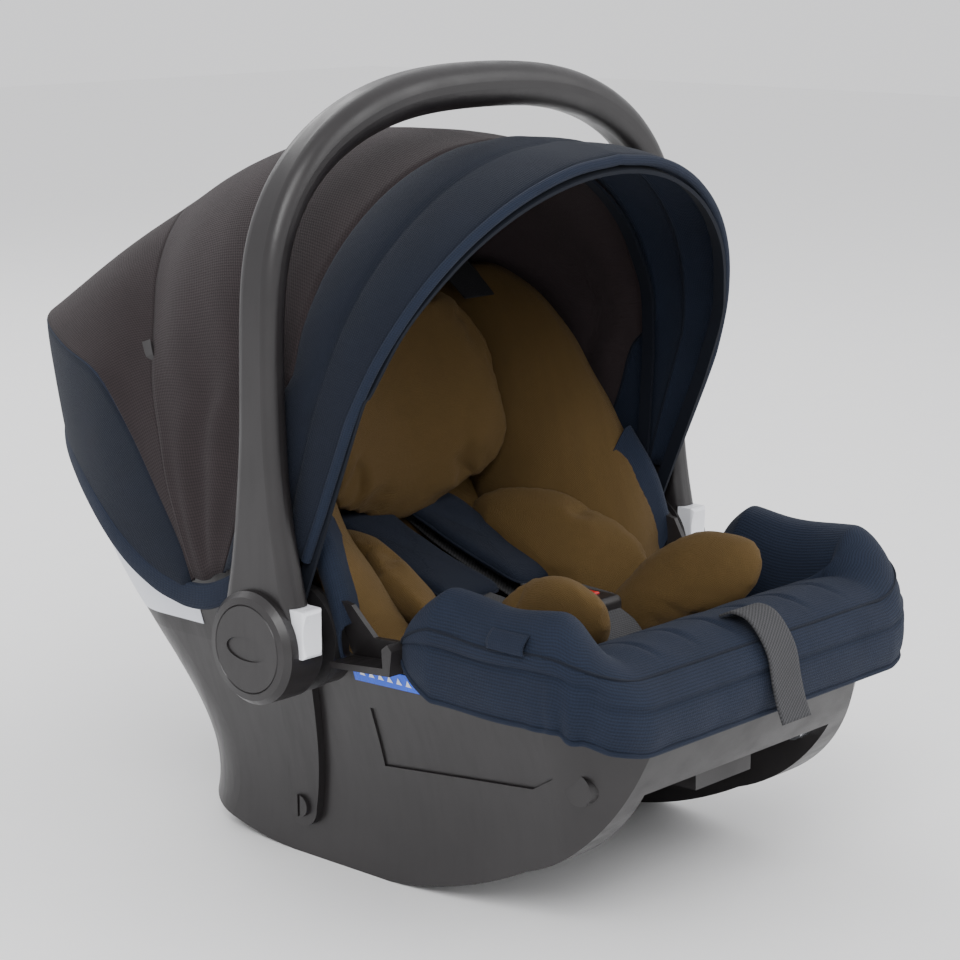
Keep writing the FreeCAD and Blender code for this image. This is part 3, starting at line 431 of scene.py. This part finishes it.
RIM_RIB = arch(22, 337, [(150, 22), (100, 21.5), (62, 20)])
VISOR_RIB = arch(12, 325, [(150, 11), (100, 8), (60, 3)])
MIDDLE_RIB = arch(3, 317, [(150, -5), (114, -13), (85, -30), (68, -58)])
FIRST_RIB = arch(-12, 328, [(150, -20), (114, -32), (88, -50), (74, -64)])
SECOND_RIB = arch(-27, 343, [(150, -36), (114, -50), (90, -64), (80, -70)])
CREASE_RIB = [leaning(x, r, a) for x, r, a in (
    (0, 354, -42), (51, 350, -42), (87, 328, -42), (121, 293, -42), (147, 257, -41.5), (177, 208, -42),
    (188, 170, -45), (189, 143, -52), (189, 110, -63), (188, 92, -73),
)]
ROOF_RIB = [(0, 292, 408), (56, 284, 406), (104, 260, 398), (141, 228, 384), (166, 193, 358), (183, 160, 324),
            (188, 138, 292), (189, 116, 256), (188, 98, 222), (188, 88, 202)]
CORNER_RIB = [(0, 347, 356), (52, 343, 356), (104, 327, 357), (146, 291, 354), (174, 237, 344),
              (187, 186, 331),
              (189, 150, 296), (189, 124, 260), (188, 102, 225), (188, 91, 200)]
HEM = [(0, 337, 286), (58, 331, 284), (105, 311, 279), (142, 276, 268), (168, 232, 250), (183, 190, 226),
       (188, 158, 206), (189, 128, 192), (189, 108, 187), (189, 92, 185)]
HEM_FRONT = [(189, 92, 185), (190, 70, 188), (190, 46, 199), (190, 27, 211)]

RIB_POINTS = 40


def full_rib(half):
    """A whole rib, from the left hem over the top to the right hem."""
    half = smooth_line(half, RIB_POINTS)
    return np.vstack([mirror_points(half[::-1]), half[1:]])


def bulged(first, last, count, bulge, sink=0.0):
    """Rows between two ribs, puffed outwards between them and sunk at the seams on either side."""
    centre = np.array([0, 0, PIVOT_HEIGHT])
    rows = []
    for share in np.linspace(0, 1, count):
        row = first * (1 - share) + last * share
        out = row - centre
        height = np.clip(np.linalg.norm(out, axis=1, keepdims=True), 1, None)
        lift = bulge * math.sin(math.pi * share) ** 0.7 - sink * (share in (0, 1))
        rows.append(row + out / height * lift)
    return np.array(rows)


def drape(rows, depth, folds):
    """Soft slack folds that run down a stretched panel from its top."""
    rows = rows.copy()
    n, m = rows.shape[:2]
    centre = np.array([0, 0, PIVOT_HEIGHT])
    i, j = np.meshgrid(np.linspace(0, 1, n), np.linspace(-1, 1, m), indexing="ij")
    wave = np.sin(2 * math.pi * (folds * i + 0.55 * j * j)) * np.sin(math.pi * i)
    wave = wave * (0.25 + np.abs(j)) * (1 - j**8)
    out = rows - centre
    out /= np.clip(np.linalg.norm(out, axis=2, keepdims=True), 1, None)
    return rows + out * (depth * wave)[..., None]


def make_hood():
    """The hood's four cloth panels, with the rolls, seams and hem that are sewn on them."""
    rim, visor, middle = full_rib(RIM_RIB), full_rib(VISOR_RIB), full_rib(MIDDLE_RIB)
    ribs = [middle, full_rib(FIRST_RIB), full_rib(SECOND_RIB), full_rib(CREASE_RIB)]
    crease, roof, corner = ribs[-1], full_rib(ROOF_RIB), full_rib(CORNER_RIB)
    hem = full_rib(HEM)

    front = np.concatenate([bulged(rim, visor, 12, 3.0, 0.8), bulged(visor, middle, 12, 3.0, 0.8)[1:]])
    # the visor's inner side is the darkened navy: painted shade inside the hood
    cloth_front = thicken(surface("hood_visor", front[::-1], navy_weave, navy_painted_shade), HOOD_CLOTH, inner=1)
    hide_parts("canopy_visor")

    main = drape(smooth_rows(ribs, 34), 2.2, 2.5)
    # the inner side is brown mesh, darkened as painted shade inside the hood
    cloth_main = thicken(surface("hood_main", main[::-1], brown_weave, brown_mesh_painted_shade), HOOD_CLOTH, inner=1)
    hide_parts("canopy_main")

    back = smooth_rows([crease, roof, corner], 22)
    # the inner side is brown mesh, darkened as painted shade inside the hood
    cloth_back = thicken(surface("hood_roof", back[::-1], brown_weave, brown_mesh_painted_shade), HOOD_CLOTH, inner=1)
    place(cloth_back, "shell", "canopy_cloth", "canopy_rear_panel")

    skirt_rows = bulged(corner, hem, 16, 2.5)[::-1]
    # the skirt's inner side is the darkened navy: painted shade inside the hood
    skirt = thicken(surface("hood_skirt", skirt_rows, navy_weave, navy_painted_shade), HOOD_CLOTH, inner=1)
    place(skirt, "shell", "navy_cloth")

    seam_line = smooth_line(CORNER_RIB, 90)
    whole_seam = np.vstack([mirror_points(seam_line[::-1]), seam_line[1:]])
    place(tube("hood_corner_piping", whole_seam, 1.7, navy_weave, sides=8), "shell", "navy_cloth")

    low = smooth_line(HEM + HEM_FRONT[1:], 110)
    low = np.vstack([mirror_points(low[::-1]), low[1:]])
    outward = low * (1, 1, 0) - (0, 120, 0)
    outward /= np.linalg.norm(outward, axis=1, keepdims=True)
    rows = []
    for rise, out in ((-1.5, 0.4), (-2.4, 1.6), (0, 2.6), (5, 3.0), (10, 2.6), (13, 1.8), (13.6, 0.6)):
        rows.append(low + outward * out + (0, 0, rise))
    rows = smooth_rows(rows, 15)
    place(thicken(surface("hood_hem", rows, navy_weave), 1.2), "shell", "navy_cloth")

    rim_line = smooth_line(RIM_RIB, 90)
    rim_line = np.vstack([mirror_points(rim_line[::-1]), rim_line[1:]])
    place(tube("hood_rim_roll", rim_line + (0, -0.6, -1.2), 3.6, navy_weave), "canopy_front", "navy_cloth")
    # these seam cords take the darkened navy: painted shade in the seam creases
    seams = (("visor_seam", VISOR_RIB, "canopy_front"), ("middle_seam", MIDDLE_RIB, "canopy_mid"))
    for name, line, body in seams:
        half = smooth_line(line, 90)
        whole = np.vstack([mirror_points(half[::-1]), half[1:]])
        place(tube(f"hood_{name}", whole, 1.1, navy_painted_shade, sides=8), body, "navy_cloth")
    return cloth_front, cloth_main, cloth_back, skirt


# ------------------------------------------------------------------ cushions on the seat's back

BIGHT = (60, 110)
HEAD_END = (246, 376)
BACK_LENGTH = math.dist(BIGHT, HEAD_END)
BACK_ALONG = ((HEAD_END[0] - BIGHT[0]) / BACK_LENGTH, (HEAD_END[1] - BIGHT[1]) / BACK_LENGTH)
BACK_OUT = (-BACK_ALONG[1], BACK_ALONG[0])


def on_back(across, along, out):
    """A point on the seat's back: across it, up it from the seat's angle, and out from it."""
    across, along, out = np.broadcast_arrays(np.asarray(across, float), np.asarray(along, float),
                                             np.asarray(out, float))
    y = BIGHT[0] + BACK_ALONG[0] * along + BACK_OUT[0] * out
    z = BIGHT[1] + BACK_ALONG[1] * along + BACK_OUT[1] * out
    return np.stack([across, y, z], axis=-1)


def cushion(name, outline, where, front, back, material, count=72, rings=12, power=2.6, piping=0.0):
    """A crowned closed cushion from a smooth outline: its faces swell in the middle and meet in a seam."""
    edge = smooth_line(outline, count, closed=True)
    centre = edge.mean(axis=0)
    shares = 1 - np.linspace(0, 1, rings) ** 1.6
    rows = []
    for side, height in ((-1, back), (1, front)):
        ring_shares = shares[::-1] if side < 0 else shares[1:]
        for share in ring_shares:
            ring = centre + (edge - centre) * max(share, 0.004)
            lift = side * height * (1 - share**power) ** 0.55
            rows.append(where(ring[:, 0], ring[:, 1], np.full(count, lift)))
    obj = surface(name, rows, material, wrap=True)
    if piping:
        line = where(edge[:, 0], edge[:, 1], np.zeros(count))
        cord = tube(f"{name}_piping", line, piping, material, sides=8, closed=True)
        obj = join(name, [obj, cord])
    return obj


def inflate(obj, pressure=4.0, cap=6.0, voxel=5.0):
    """Blows the cushion up as cloth, so that it wrinkles and swells as a sewn cover does."""
    rest = obj.data.copy()
    remesh = obj.modifiers.new("voxels", "REMESH")
    remesh.mode = "VOXEL"
    remesh.voxel_size = voxel / 1000
    apply_modifiers(obj)
    start = np.array([v.co for v in obj.data.vertices])
    scene = bpy.context.scene
    blow = obj.modifiers.new("cloth", "CLOTH")
    blow.settings.use_pressure = True
    blow.settings.uniform_pressure_force = pressure
    blow.settings.effector_weights.gravity = 0
    blow.settings.shrink_min = -0.06
    for step in range(1, 21):
        scene.frame_set(step)
    swollen = bpy.data.meshes.new_from_object(obj.evaluated_get(bpy.context.evaluated_depsgraph_get()))
    obj.modifiers.clear()
    moved = np.array([v.co for v in swollen.vertices]) - start
    far = np.linalg.norm(moved, axis=1, keepdims=True)
    moved *= np.minimum(1, cap / 1000 / np.maximum(far, 1e-9))
    obj.data = swollen
    obj.data.vertices.foreach_set("co", (start + moved).ravel())
    scene.frame_set(1)
    finer = obj.modifiers.new("finer", "SUBSURF")
    finer.levels = finer.render_levels = 1
    apply_modifiers(obj)
    obj.data.polygons.foreach_set("use_smooth", [True] * len(obj.data.polygons))
    keep_uv(obj, rest)
    return obj


def keep_uv(obj, source):
    """Gives a remeshed piece the UV map of the mesh that it came from, by the nearest place on it."""
    tree = BVHTree.FromPolygons([v.co for v in source.vertices], [p.vertices for p in source.polygons])
    corner_uv = source.uv_layers["UVMap"].data
    layer = obj.data.uv_layers.get("UVMap") or obj.data.uv_layers.new(name="UVMap")
    for polygon in obj.data.polygons:
        face = source.polygons[tree.find_nearest(polygon.center)[2]]
        base = np.mean([corner_uv[i].uv for i in face.loop_indices], axis=0)
        point = source.vertices[face.vertices[0]].co
        side = (source.vertices[face.vertices[1]].co - point).normalized()
        up = face.normal.cross(side)
        for loop in polygon.loop_indices:
            co = obj.data.vertices[obj.data.loops[loop].vertex_index].co - face.center
            layer.data[loop].uv = (base[0] + co.dot(side), base[1] + co.dot(up))


HEAD_OUTLINE = [(0, 268), (50, 262), (84, 236), (98, 190), (98, 146), (90, 118), (66, 99), (0, 92),
                (-66, 99), (-90, 118), (-98, 146), (-98, 190), (-84, 236), (-50, 262)]
LOBE_OUTLINE = [(72, 92), (94, 86), (112, 60), (118, 20), (112, -14),
                (94, -28), (74, -22), (64, 10), (62, 56)]
WING_OUTLINE = [(-68, 150), (-80, 180), (-104, 206), (-142, 223), (-178, 218), (-186, 196), (-166, 172),
                (-130, 156), (-98, 146)]


def on_pillow(u, s, lift):
    """The pillow stands further out at its sides and towards its top."""
    return on_back(u, s, 40 + 0.26 * (s - 84) + 40 * (u / 92) ** 2 + lift)


def on_lobe(sign):
    """A lobe lies on the slope between the back, the seat and the side bolster."""
    def where(u, s, lift):
        return on_back(sign * u, s, 34 + 1.05 * (u - 50) + 0.45 * (84 - s) + lift)
    return where


def on_wing(sign):
    """A wing stands up beside the crotch strap and leans outwards a little."""
    def where(y, z, lift):
        return np.stack([sign * (58 + 0.42 * (z - 146) - 0.9 * lift), y, z + 0.35 * lift], axis=-1)
    return where


def crumple(obj, size, depth, seed):
    """Small uneven slack in a stuffed cover."""
    points = np.array([v.co for v in obj.data.vertices]) * 1000
    normals = np.array([v.normal for v in obj.data.vertices])
    rng = np.random.default_rng(seed)
    wave = np.zeros(len(points))
    for _ in range(7):
        direction = rng.normal(size=3)
        direction *= 2 * math.pi / size / np.linalg.norm(direction)
        wave += np.sin(points @ direction + rng.uniform(0, 6.28)) / 7
    points += normals * (depth * wave)[:, None]
    obj.data.vertices.foreach_set("co", (points / 1000).ravel())
    return obj


def soft(obj, body, slot, fill, *nodes):
    """A stuffed piece in place on its body."""
    place(obj, body, slot, *nodes)
    return obj


RING_EDGE = [(0, 202, 366), (56, 194, 368), (102, 168, 374), (130, 138, 380), (144, 108, 378), (150, 66, 352),
             (154, 30, 310), (158, -2, 262), (160, -26, 228), (161, -42, 184), (158, -66, 168)]
RING_FOOT = [(0, 180, 346), (40, 176, 342), (72, 162, 328), (90, 142, 300), (94, 120, 268), (93, 98, 236),
             (92, 78, 208), (92, 56, 184), (94, 30, 162), (98, -16, 150), (104, -72, 148)]


def make_bolster_ring():
    """The insert's horseshoe: from one hip up round the crown to the other."""
    count = 70
    edge = smooth_line(RING_EDGE, count)
    foot = smooth_line(RING_FOOT, count)
    edge = np.vstack([mirror_points(edge[::-1]), edge[1:]])
    foot = np.vstack([mirror_points(foot[::-1]), foot[1:]])
    forward = np.gradient(edge + foot, axis=0)
    rows = []
    for place_along, (top, low, run) in enumerate(zip(edge, foot, forward)):
        span = top - low
        puff = np.cross(span, run)
        puff /= np.linalg.norm(puff)
        if puff[2] < 0:
            puff = -puff
        end = min(place_along, len(edge) - 1 - place_along) / 6
        full = min(1, end) ** 0.5
        centre = (top + low) / 2
        section = [low - puff * 14]
        section += [low + span * t + puff * (17 * math.sin(math.pi * t) ** 0.75)
                    for t in np.linspace(0, 1, 15)]
        section += [top + span / np.linalg.norm(span) * 5 - puff * 7, top - puff * 18, centre - puff * 22]
        rows.append([centre + (point - centre) * max(full, 0.03) for point in section])
    ring = surface("insert_ring", rows, mustard_jersey, wrap=True)
    ring.data.flip_normals()
    crumple(ring, 46, 1.3, 3)
    return soft(ring, "shell", "insert_cloth", 0.6, "side_bolster_left", "side_bolster_right")


def make_insert():
    """The newborn insert: its liner, the ring round it, the pillow, two lobes and two leaves."""
    line = smooth_line([(-96, 152), (-50, 146), (0, 139), (34, 142), (58, 166), (84, 200), (128, 262),
                        (176, 330), (204, 370)], 60)
    rows = []
    for y, z in line:
        rows.append([(x, y - 16 * (abs(x) / 130) ** 3, z + 14 * (abs(x) / 130) ** 3)
                     for x in np.linspace(-130, 130, 41)])
    liner = thicken(surface("insert_liner", rows, mustard_jersey), 9, offset=-1)
    soft(crumple(liner, 60, 1.2, 5), "shell", "insert_cloth", 0.3, "insert_body")
    make_bolster_ring()
    pillow = cushion("insert_pillow", HEAD_OUTLINE, on_pillow, 26, 13, mustard_jersey, count=120)
    soft(inflate(crumple(pillow, 52, 1.6, 8)), "shell", "insert_cloth", 0.8, "head_pillow")
    for side, sign in (("left", -1), ("right", 1)):
        lobe = cushion(f"insert_lobe_{side}", LOBE_OUTLINE, on_lobe(sign), 17, 12, mustard_jersey, count=96)
        soft(inflate(crumple(lobe, 44, 1.3, 10 + sign)), "shell", "insert_cloth", 0.7)
        wing = cushion(f"insert_leaf_{side}", WING_OUTLINE, on_wing(sign), 17, 13, mustard_jersey, count=96)
        soft(inflate(crumple(wing, 30, 1.4, 20 + sign)), "shell", "insert_cloth", 0.8, f"insert_wing_{side}")


# ------------------------------------------------------------------ harness

PAD_TOP = np.array((88, 222))
PAD_FOOT = np.array((-10, 172))
PAD_X = 36
WEBBING_HALF = 19
WEBBING_THICK = 1.4


def make_harness():
    """The shoulder pads and the webbing that shows between the insert's pieces."""
    run = PAD_FOOT - PAD_TOP
    out = np.array((run[1], -run[0])) / np.linalg.norm(run)
    for side, sign in (("left", -1), ("right", 1)):
        def on_pad(u, v, lift):
            t = v / 100
            y = PAD_TOP[0] + run[0] * t + out[0] * lift
            z = PAD_TOP[1] + run[1] * t + out[1] * lift - 3 * np.sin(math.pi * t)
            return np.stack([sign * PAD_X + 26 * t + u, y, z], axis=-1)
        outline = [(-24, 2), (0, 0), (24, 2), (25, 26), (25, 50), (25, 74), (24, 98), (0, 100), (-24, 98),
                   (-25, 74), (-25, 50), (-25, 26)]
        pad = cushion(f"harness_pad_{side}", outline, on_pad, 6, 5, navy_pad, count=96, power=9, piping=1.0)
        soft(crumple(pad, 34, 0.8, 30 + sign), "shell", "navy_cloth", 0.5, f"shoulder_pad_{side}")
        strap = [(sign * PAD_X, 104, 219), (sign * PAD_X + 8, 62, 192), (sign * PAD_X + 22, -8, 157),
                 (sign * 26 + 6, -34, 168), (sign * 14, -46, 176)]
        run_up = ribbon(f"harness_strap_{side}", strap, WEBBING_HALF, WEBBING_THICK, webbing)
        place(run_up, "shell", "webbing", f"shoulder_strap_{side}")
        hip = [(sign * 100, -44, 160), (sign * 74, -48, 168), (sign * 46, -50, 174), (sign * 16, -46, 177)]
        lap = ribbon(f"harness_hip_{side}", hip, WEBBING_HALF, WEBBING_THICK, webbing, across=(0, 1, 0.1))
        place(lap, "shell", "webbing", f"hip_strap_{side}")
    crotch = [(0, -142, 158), (0, -130, 170), (0, -118, 176), (0, -112, 177)]
    upright = ribbon("harness_crotch", crotch, WEBBING_HALF, WEBBING_THICK, webbing)
    place(upright, "shell", "webbing", "crotch_strap")
    pull = [(-226, 197), (-236, 201), (-248, 199), (-258, 190), (-266, 177), (-270, 160), (-274, 146),
            (-279, 134)]
    line = [(0, y - 1, z + 1.5) for y, z in pull]
    place(ribbon("harness_pull", line, 15, 1.6, webbing), "shell", "webbing", "adjuster_strap")


# ------------------------------------------------------------------ covers

SIDE_SECTION = [(-1, 157), (2, 168), (2.5, 178), (1.5, 189), (-1.2, 192), (2, 196), (-1, 208),
                (-8, 219), (-19, 225), (-32, 222), (-43, 208), (-49, 188), (-52, 165)]
FRONT_SECTION = [(0, 140), (2.5, 148), (3, 157), (1.5, 165), (-1.2, 168), (1, 172), (-7, 184),
                 (-21, 193), (-43, 197), (-68, 191), (-88, 182), (-100, 173), (-110, 165)]
HALF_WIDTH = 181.0
FRONT_LINE = -264.0
CORNER = 54.0
WING_END = -90.0


def cover_path(count):
    """The outer line of the foot cover: (x, y), the way outwards, and 0 on a side to 1 at the front."""
    straight = abs(WING_END - (FRONT_LINE + CORNER))
    quarter = math.pi * CORNER / 2
    half = straight + quarter + HALF_WIDTH - CORNER
    made = []
    for run in np.linspace(-half, half, count):
        sign = 1 if run > 0 else -1
        left = half - abs(run)
        if left < straight:
            point, way, front = (HALF_WIDTH, WING_END - left), (1.0, 0.0), 0.0
        elif left < straight + quarter:
            turn = (left - straight) / CORNER
            centre = (HALF_WIDTH - CORNER, FRONT_LINE + CORNER)
            way = (math.cos(turn), -math.sin(turn))
            point = (centre[0] + CORNER * way[0], centre[1] + CORNER * way[1])
            front = turn / (math.pi / 2)
        else:
            point, way, front = (half - left, FRONT_LINE), (0.0, -1.0), 1.0
        made.append((sign * point[0], point[1], sign * way[0], way[1], front, left))
    return made


def make_foot_cover():
    """The padded foot end: two wings and a quilted roll across the front, gathered at its hem."""
    side, front = smooth_line(SIDE_SECTION, 64), smooth_line(FRONT_SECTION, 64)
    rows, seam, hem = [], [], []
    for x, y, way_x, way_y, ahead, left in cover_path(241):
        ahead = ahead * ahead * (3 - 2 * ahead)
        section = side * (1 - ahead) + front * ahead
        depth = np.linspace(0, 1, len(section))
        gather = math.exp(-((left - 150) / 26) ** 2)
        wrinkle = gather * np.clip((0.30 - depth) / 0.30, 0, 1)
        n = section[:, 0] - wrinkle * 2.0 * (1 + math.sin(left / 2.7 + 1.3 * math.sin(left / 11)))
        z = section[:, 1] + wrinkle * 1.5 * math.sin(left / 4.1)
        quilt = sum(math.exp(-((abs(x) - groove) / 2.2) ** 2) for groove in (22, 60, 100)) * ahead
        z = z - 3.0 * quilt * np.clip((depth - 0.36) * 6, 0, 1)
        z = z + (1 - ahead) * (2.4 * math.sin(left / 17) * np.exp(-((depth - 0.5) / 0.25) ** 2))
        n = n + (1 - ahead) * 1.2 * math.sin(left / 13 + 1)
        tip = min(1, left / 34) ** 0.5 if left < 34 else 1.0
        middle = (-12, 184)
        n = middle[0] + (n - middle[0]) * max(tip, 0.04)
        z = middle[1] + (z - middle[1]) * max(tip, 0.04)
        rows.append(np.stack([x + way_x * n, y + way_y * n, z], axis=-1))
        seam.append(rows[-1][20])
        hem.append(rows[-1][0])
    cover = surface("foot_cover_quilt", rows, navy_knit, wrap=True)
    cover = crumple(cover, 38, 0.9, 40)
    soft(cover, "shell", "navy_cloth", 0.6, "foot_cover")
    # the seam cord takes the darkened navy: painted shade in the crease
    place(tube("foot_cover_seam", smooth_line(seam, 400), 0.9, navy_painted_shade, sides=7), "shell", "navy_cloth")
    place(tube("foot_cover_binding", smooth_line(hem, 400), 1.8, navy_weave, sides=8), "shell", "navy_cloth")


def make_seat_cover():
    """The navy cover: a floor under the insert, and a skin up the bucket's walls beside the hubs."""
    line = smooth_line([(-222, 176), (-190, 158), (-130, 148), (-80, 136), (0, 126), (46, 134), (90, 196),
                        (150, 280), (200, 352)], 60)
    rows = [[(x, y, z) for x in np.linspace(-128, 128, 21)] for y, z in line]
    floor = thicken(surface("seat_cover_floor", rows, navy_weave), 4)
    edge = smooth_line(RING_EDGE[7:10], 90)
    rows = []
    for x, y, z in edge:
        rows.append([(x - 12, y, z - 12), (x + 2, y + 1, z + 2), (x + 7, y + 1, z + 6),
                     (x + 12, y + 2, z + 4),
                     (x + 13, y + 3, z - 3), (x + 12, y + 3, z - 12), (x + 9, y + 3, z - 22)])
    rows = np.array([smooth_line(row, 18) for row in rows])
    skins = [thicken(surface("skin_right", rows, navy_weave), 2.5)]
    skins.append(thicken(surface("skin_left", mirror_points(rows)[:, ::-1], navy_weave), 2.5))
    cover = join("seat_cover_skin", [floor] + skins)
    soft(cover, "shell", "navy_cloth", 0.3, "seat_cover")


TAG_FURTHER_BACK = 30


def make_small_cloths():
    """The folded tag on the insert and the two flaps on the foot cover."""
    low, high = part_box("head_tag")
    centre = (low + high) / 2 * 1000
    y = centre.y - PIVOT.y * 1000 + TAG_FURTHER_BACK
    tag = [(centre.x, y - 16, centre.z - 26), (centre.x, y - 4, centre.z - 17),
           (centre.x, y + 17, centre.z - 2)]
    place(ribbon("head_tag_loop", tag, 18, 0.9, black_tag), "shell", "navy_cloth", "head_tag")
    flaps = []
    for sign in (-1, 1):
        line = [(sign * 176, -190, 214), (sign * 180, -191, 213), (sign * 184, -191, 208),
                (sign * 185, -192, 203)]
        flaps.append(ribbon(f"flap_{sign}", line, 15, 1.0, navy_weave, across=(0, 1, 0)))
    place(join("side_tab_flaps", flaps), "shell", "navy_cloth", "side_tabs")


# ------------------------------------------------------------------ labels


def on_node(node, side):
    """A function from (y, z) to the place on the outside of a CAD node, seen from one side."""
    mesh = NODES[node].data
    tree = BVHTree.FromPolygons([v.co for v in mesh.vertices], [p.vertices for p in mesh.polygons])

    def find(y, z, proud=0.25):
        origin = Vector((side * 0.4, (y + PIVOT.y * 1000) / 1000, z / 1000))
        hit = tree.ray_cast(origin, Vector((-side, 0, 0)))[0]
        return None if hit is None else (hit.x * 1000 + side * proud, y, z)
    return find


def patch(name, find, corners, material):
    """A printed mark: a flat outline laid on a label's face."""
    points = [find(y, z) for y, z in corners]
    if any(p is None for p in points):
        return None
    mesh = bpy.data.meshes.new(name)
    mesh.from_pydata(at(points).tolist(), [], [list(range(len(points)))])
    obj = bpy.data.objects.new(name, mesh)
    bpy.context.scene.collection.objects.link(obj)
    mesh.materials.append(material)
    return obj


def make_label_prints():
    """A row of white arrow heads on each blue belt label."""
    low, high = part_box("belt_labels")
    y_low, y_high = low.y * 1000 - PIVOT.y * 1000, high.y * 1000 - PIVOT.y * 1000
    for side, sign in (("left", -1), ("right", 1)):
        find = on_node("belt_labels", sign)
        marks = []
        for y in np.linspace(y_low + 9, y_high - 9, 6):
            z = (low.z + high.z) * 500 + 0.5
            corners = [(y - 2.7, z - 2.2), (y + 2.7, z - 2.2), (y, z + 2.6)]
            mark = patch(f"arrow_{side}_{len(marks)}", find, corners, label_white)
            if mark:
                marks.append(mark)
        if marks:
            place(join(f"belt_arrows_{side}", marks), "shell", "label_white")


# ------------------------------------------------------------------ the room


def make_room():
    """A pale plain floor, soft area lights and a nearly white world."""
    scene = bpy.context.scene
    bpy.ops.mesh.primitive_plane_add(size=14, location=(0, 0, 0))
    floor = bpy.context.object
    floor.name = "floor"
    floor.data.materials.append(plastic("floor_paint", (0.93, 0.93, 0.93), 0.9, grain=0.02, wear=0.01))
    world = scene.world or bpy.data.worlds.new("world")
    scene.world = world
    world.use_nodes = True
    background = world.node_tree.nodes["Background"]
    background.inputs["Color"].default_value = (0.98, 0.98, 1.0, 1)
    background.inputs["Strength"].default_value = 1.15
    lights = [
        ("key", (-1.9, -1.6, 2.3), 1.6, 60),
        ("fill", (1.6, -2.2, 1.6), 1.8, 26),
        ("back", (0.6, 2.2, 2.2), 1.6, 30),
    ]
    for name, place_of, size, power in lights:
        light = bpy.data.lights.new(name, "AREA")
        light.size = size
        light.energy = power
        lamp = bpy.data.objects.new(name, light)
        lamp.location = place_of
        lamp.rotation_euler = (Vector((0, 0, 0.25)) - Vector(place_of)).to_track_quat("-Z", "Y").to_euler()
        scene.collection.objects.link(lamp)


EYE_FROM_PIVOT = Vector((-1.3273, -1.2132, 0.466))
EYE_TURN = math.radians(-47.64)
EYE_DOWN = math.radians(12.19)


def make_camera():
    """A long lens, a little above the seat, that sees its front and its left side."""
    camera = bpy.data.cameras.new("camera")
    camera.sensor_width = 36
    camera.lens = 97.5
    camera.dof.use_dof = False
    eye = bpy.data.objects.new("camera", camera)
    eye.location = PIVOT + EYE_FROM_PIVOT
    eye.rotation_euler = (math.radians(90) - EYE_DOWN, 0, EYE_TURN)
    bpy.context.scene.collection.objects.link(eye)
    bpy.context.scene.camera = eye


# ------------------------------------------------------------------ the whole seat

cloth_front, cloth_main, cloth_back, skirt = make_hood()
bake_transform(cloth_main)
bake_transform(cloth_front)
for panel, flat, area, bows in (
    (cloth_front, (0.82, 0.11), 0.066, ["canopy_front_bow", "canopy_mid_bow"]),
    (cloth_main, (0.82, 0.26), 0.138, ["canopy_mid_bow", "canopy_rear_bow"]),
    (cloth_back, (0.885, 0.157), 0.0585, ["canopy_rear_bow", "seat_bucket"]),
    (skirt, (0.885, 0.11), 0.060, ["seat_bucket"]),
):
    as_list(bows)
make_seat_cover()
make_insert()
make_harness()
make_foot_cover()
make_small_cloths()
make_label_prints()
make_room()
make_camera()
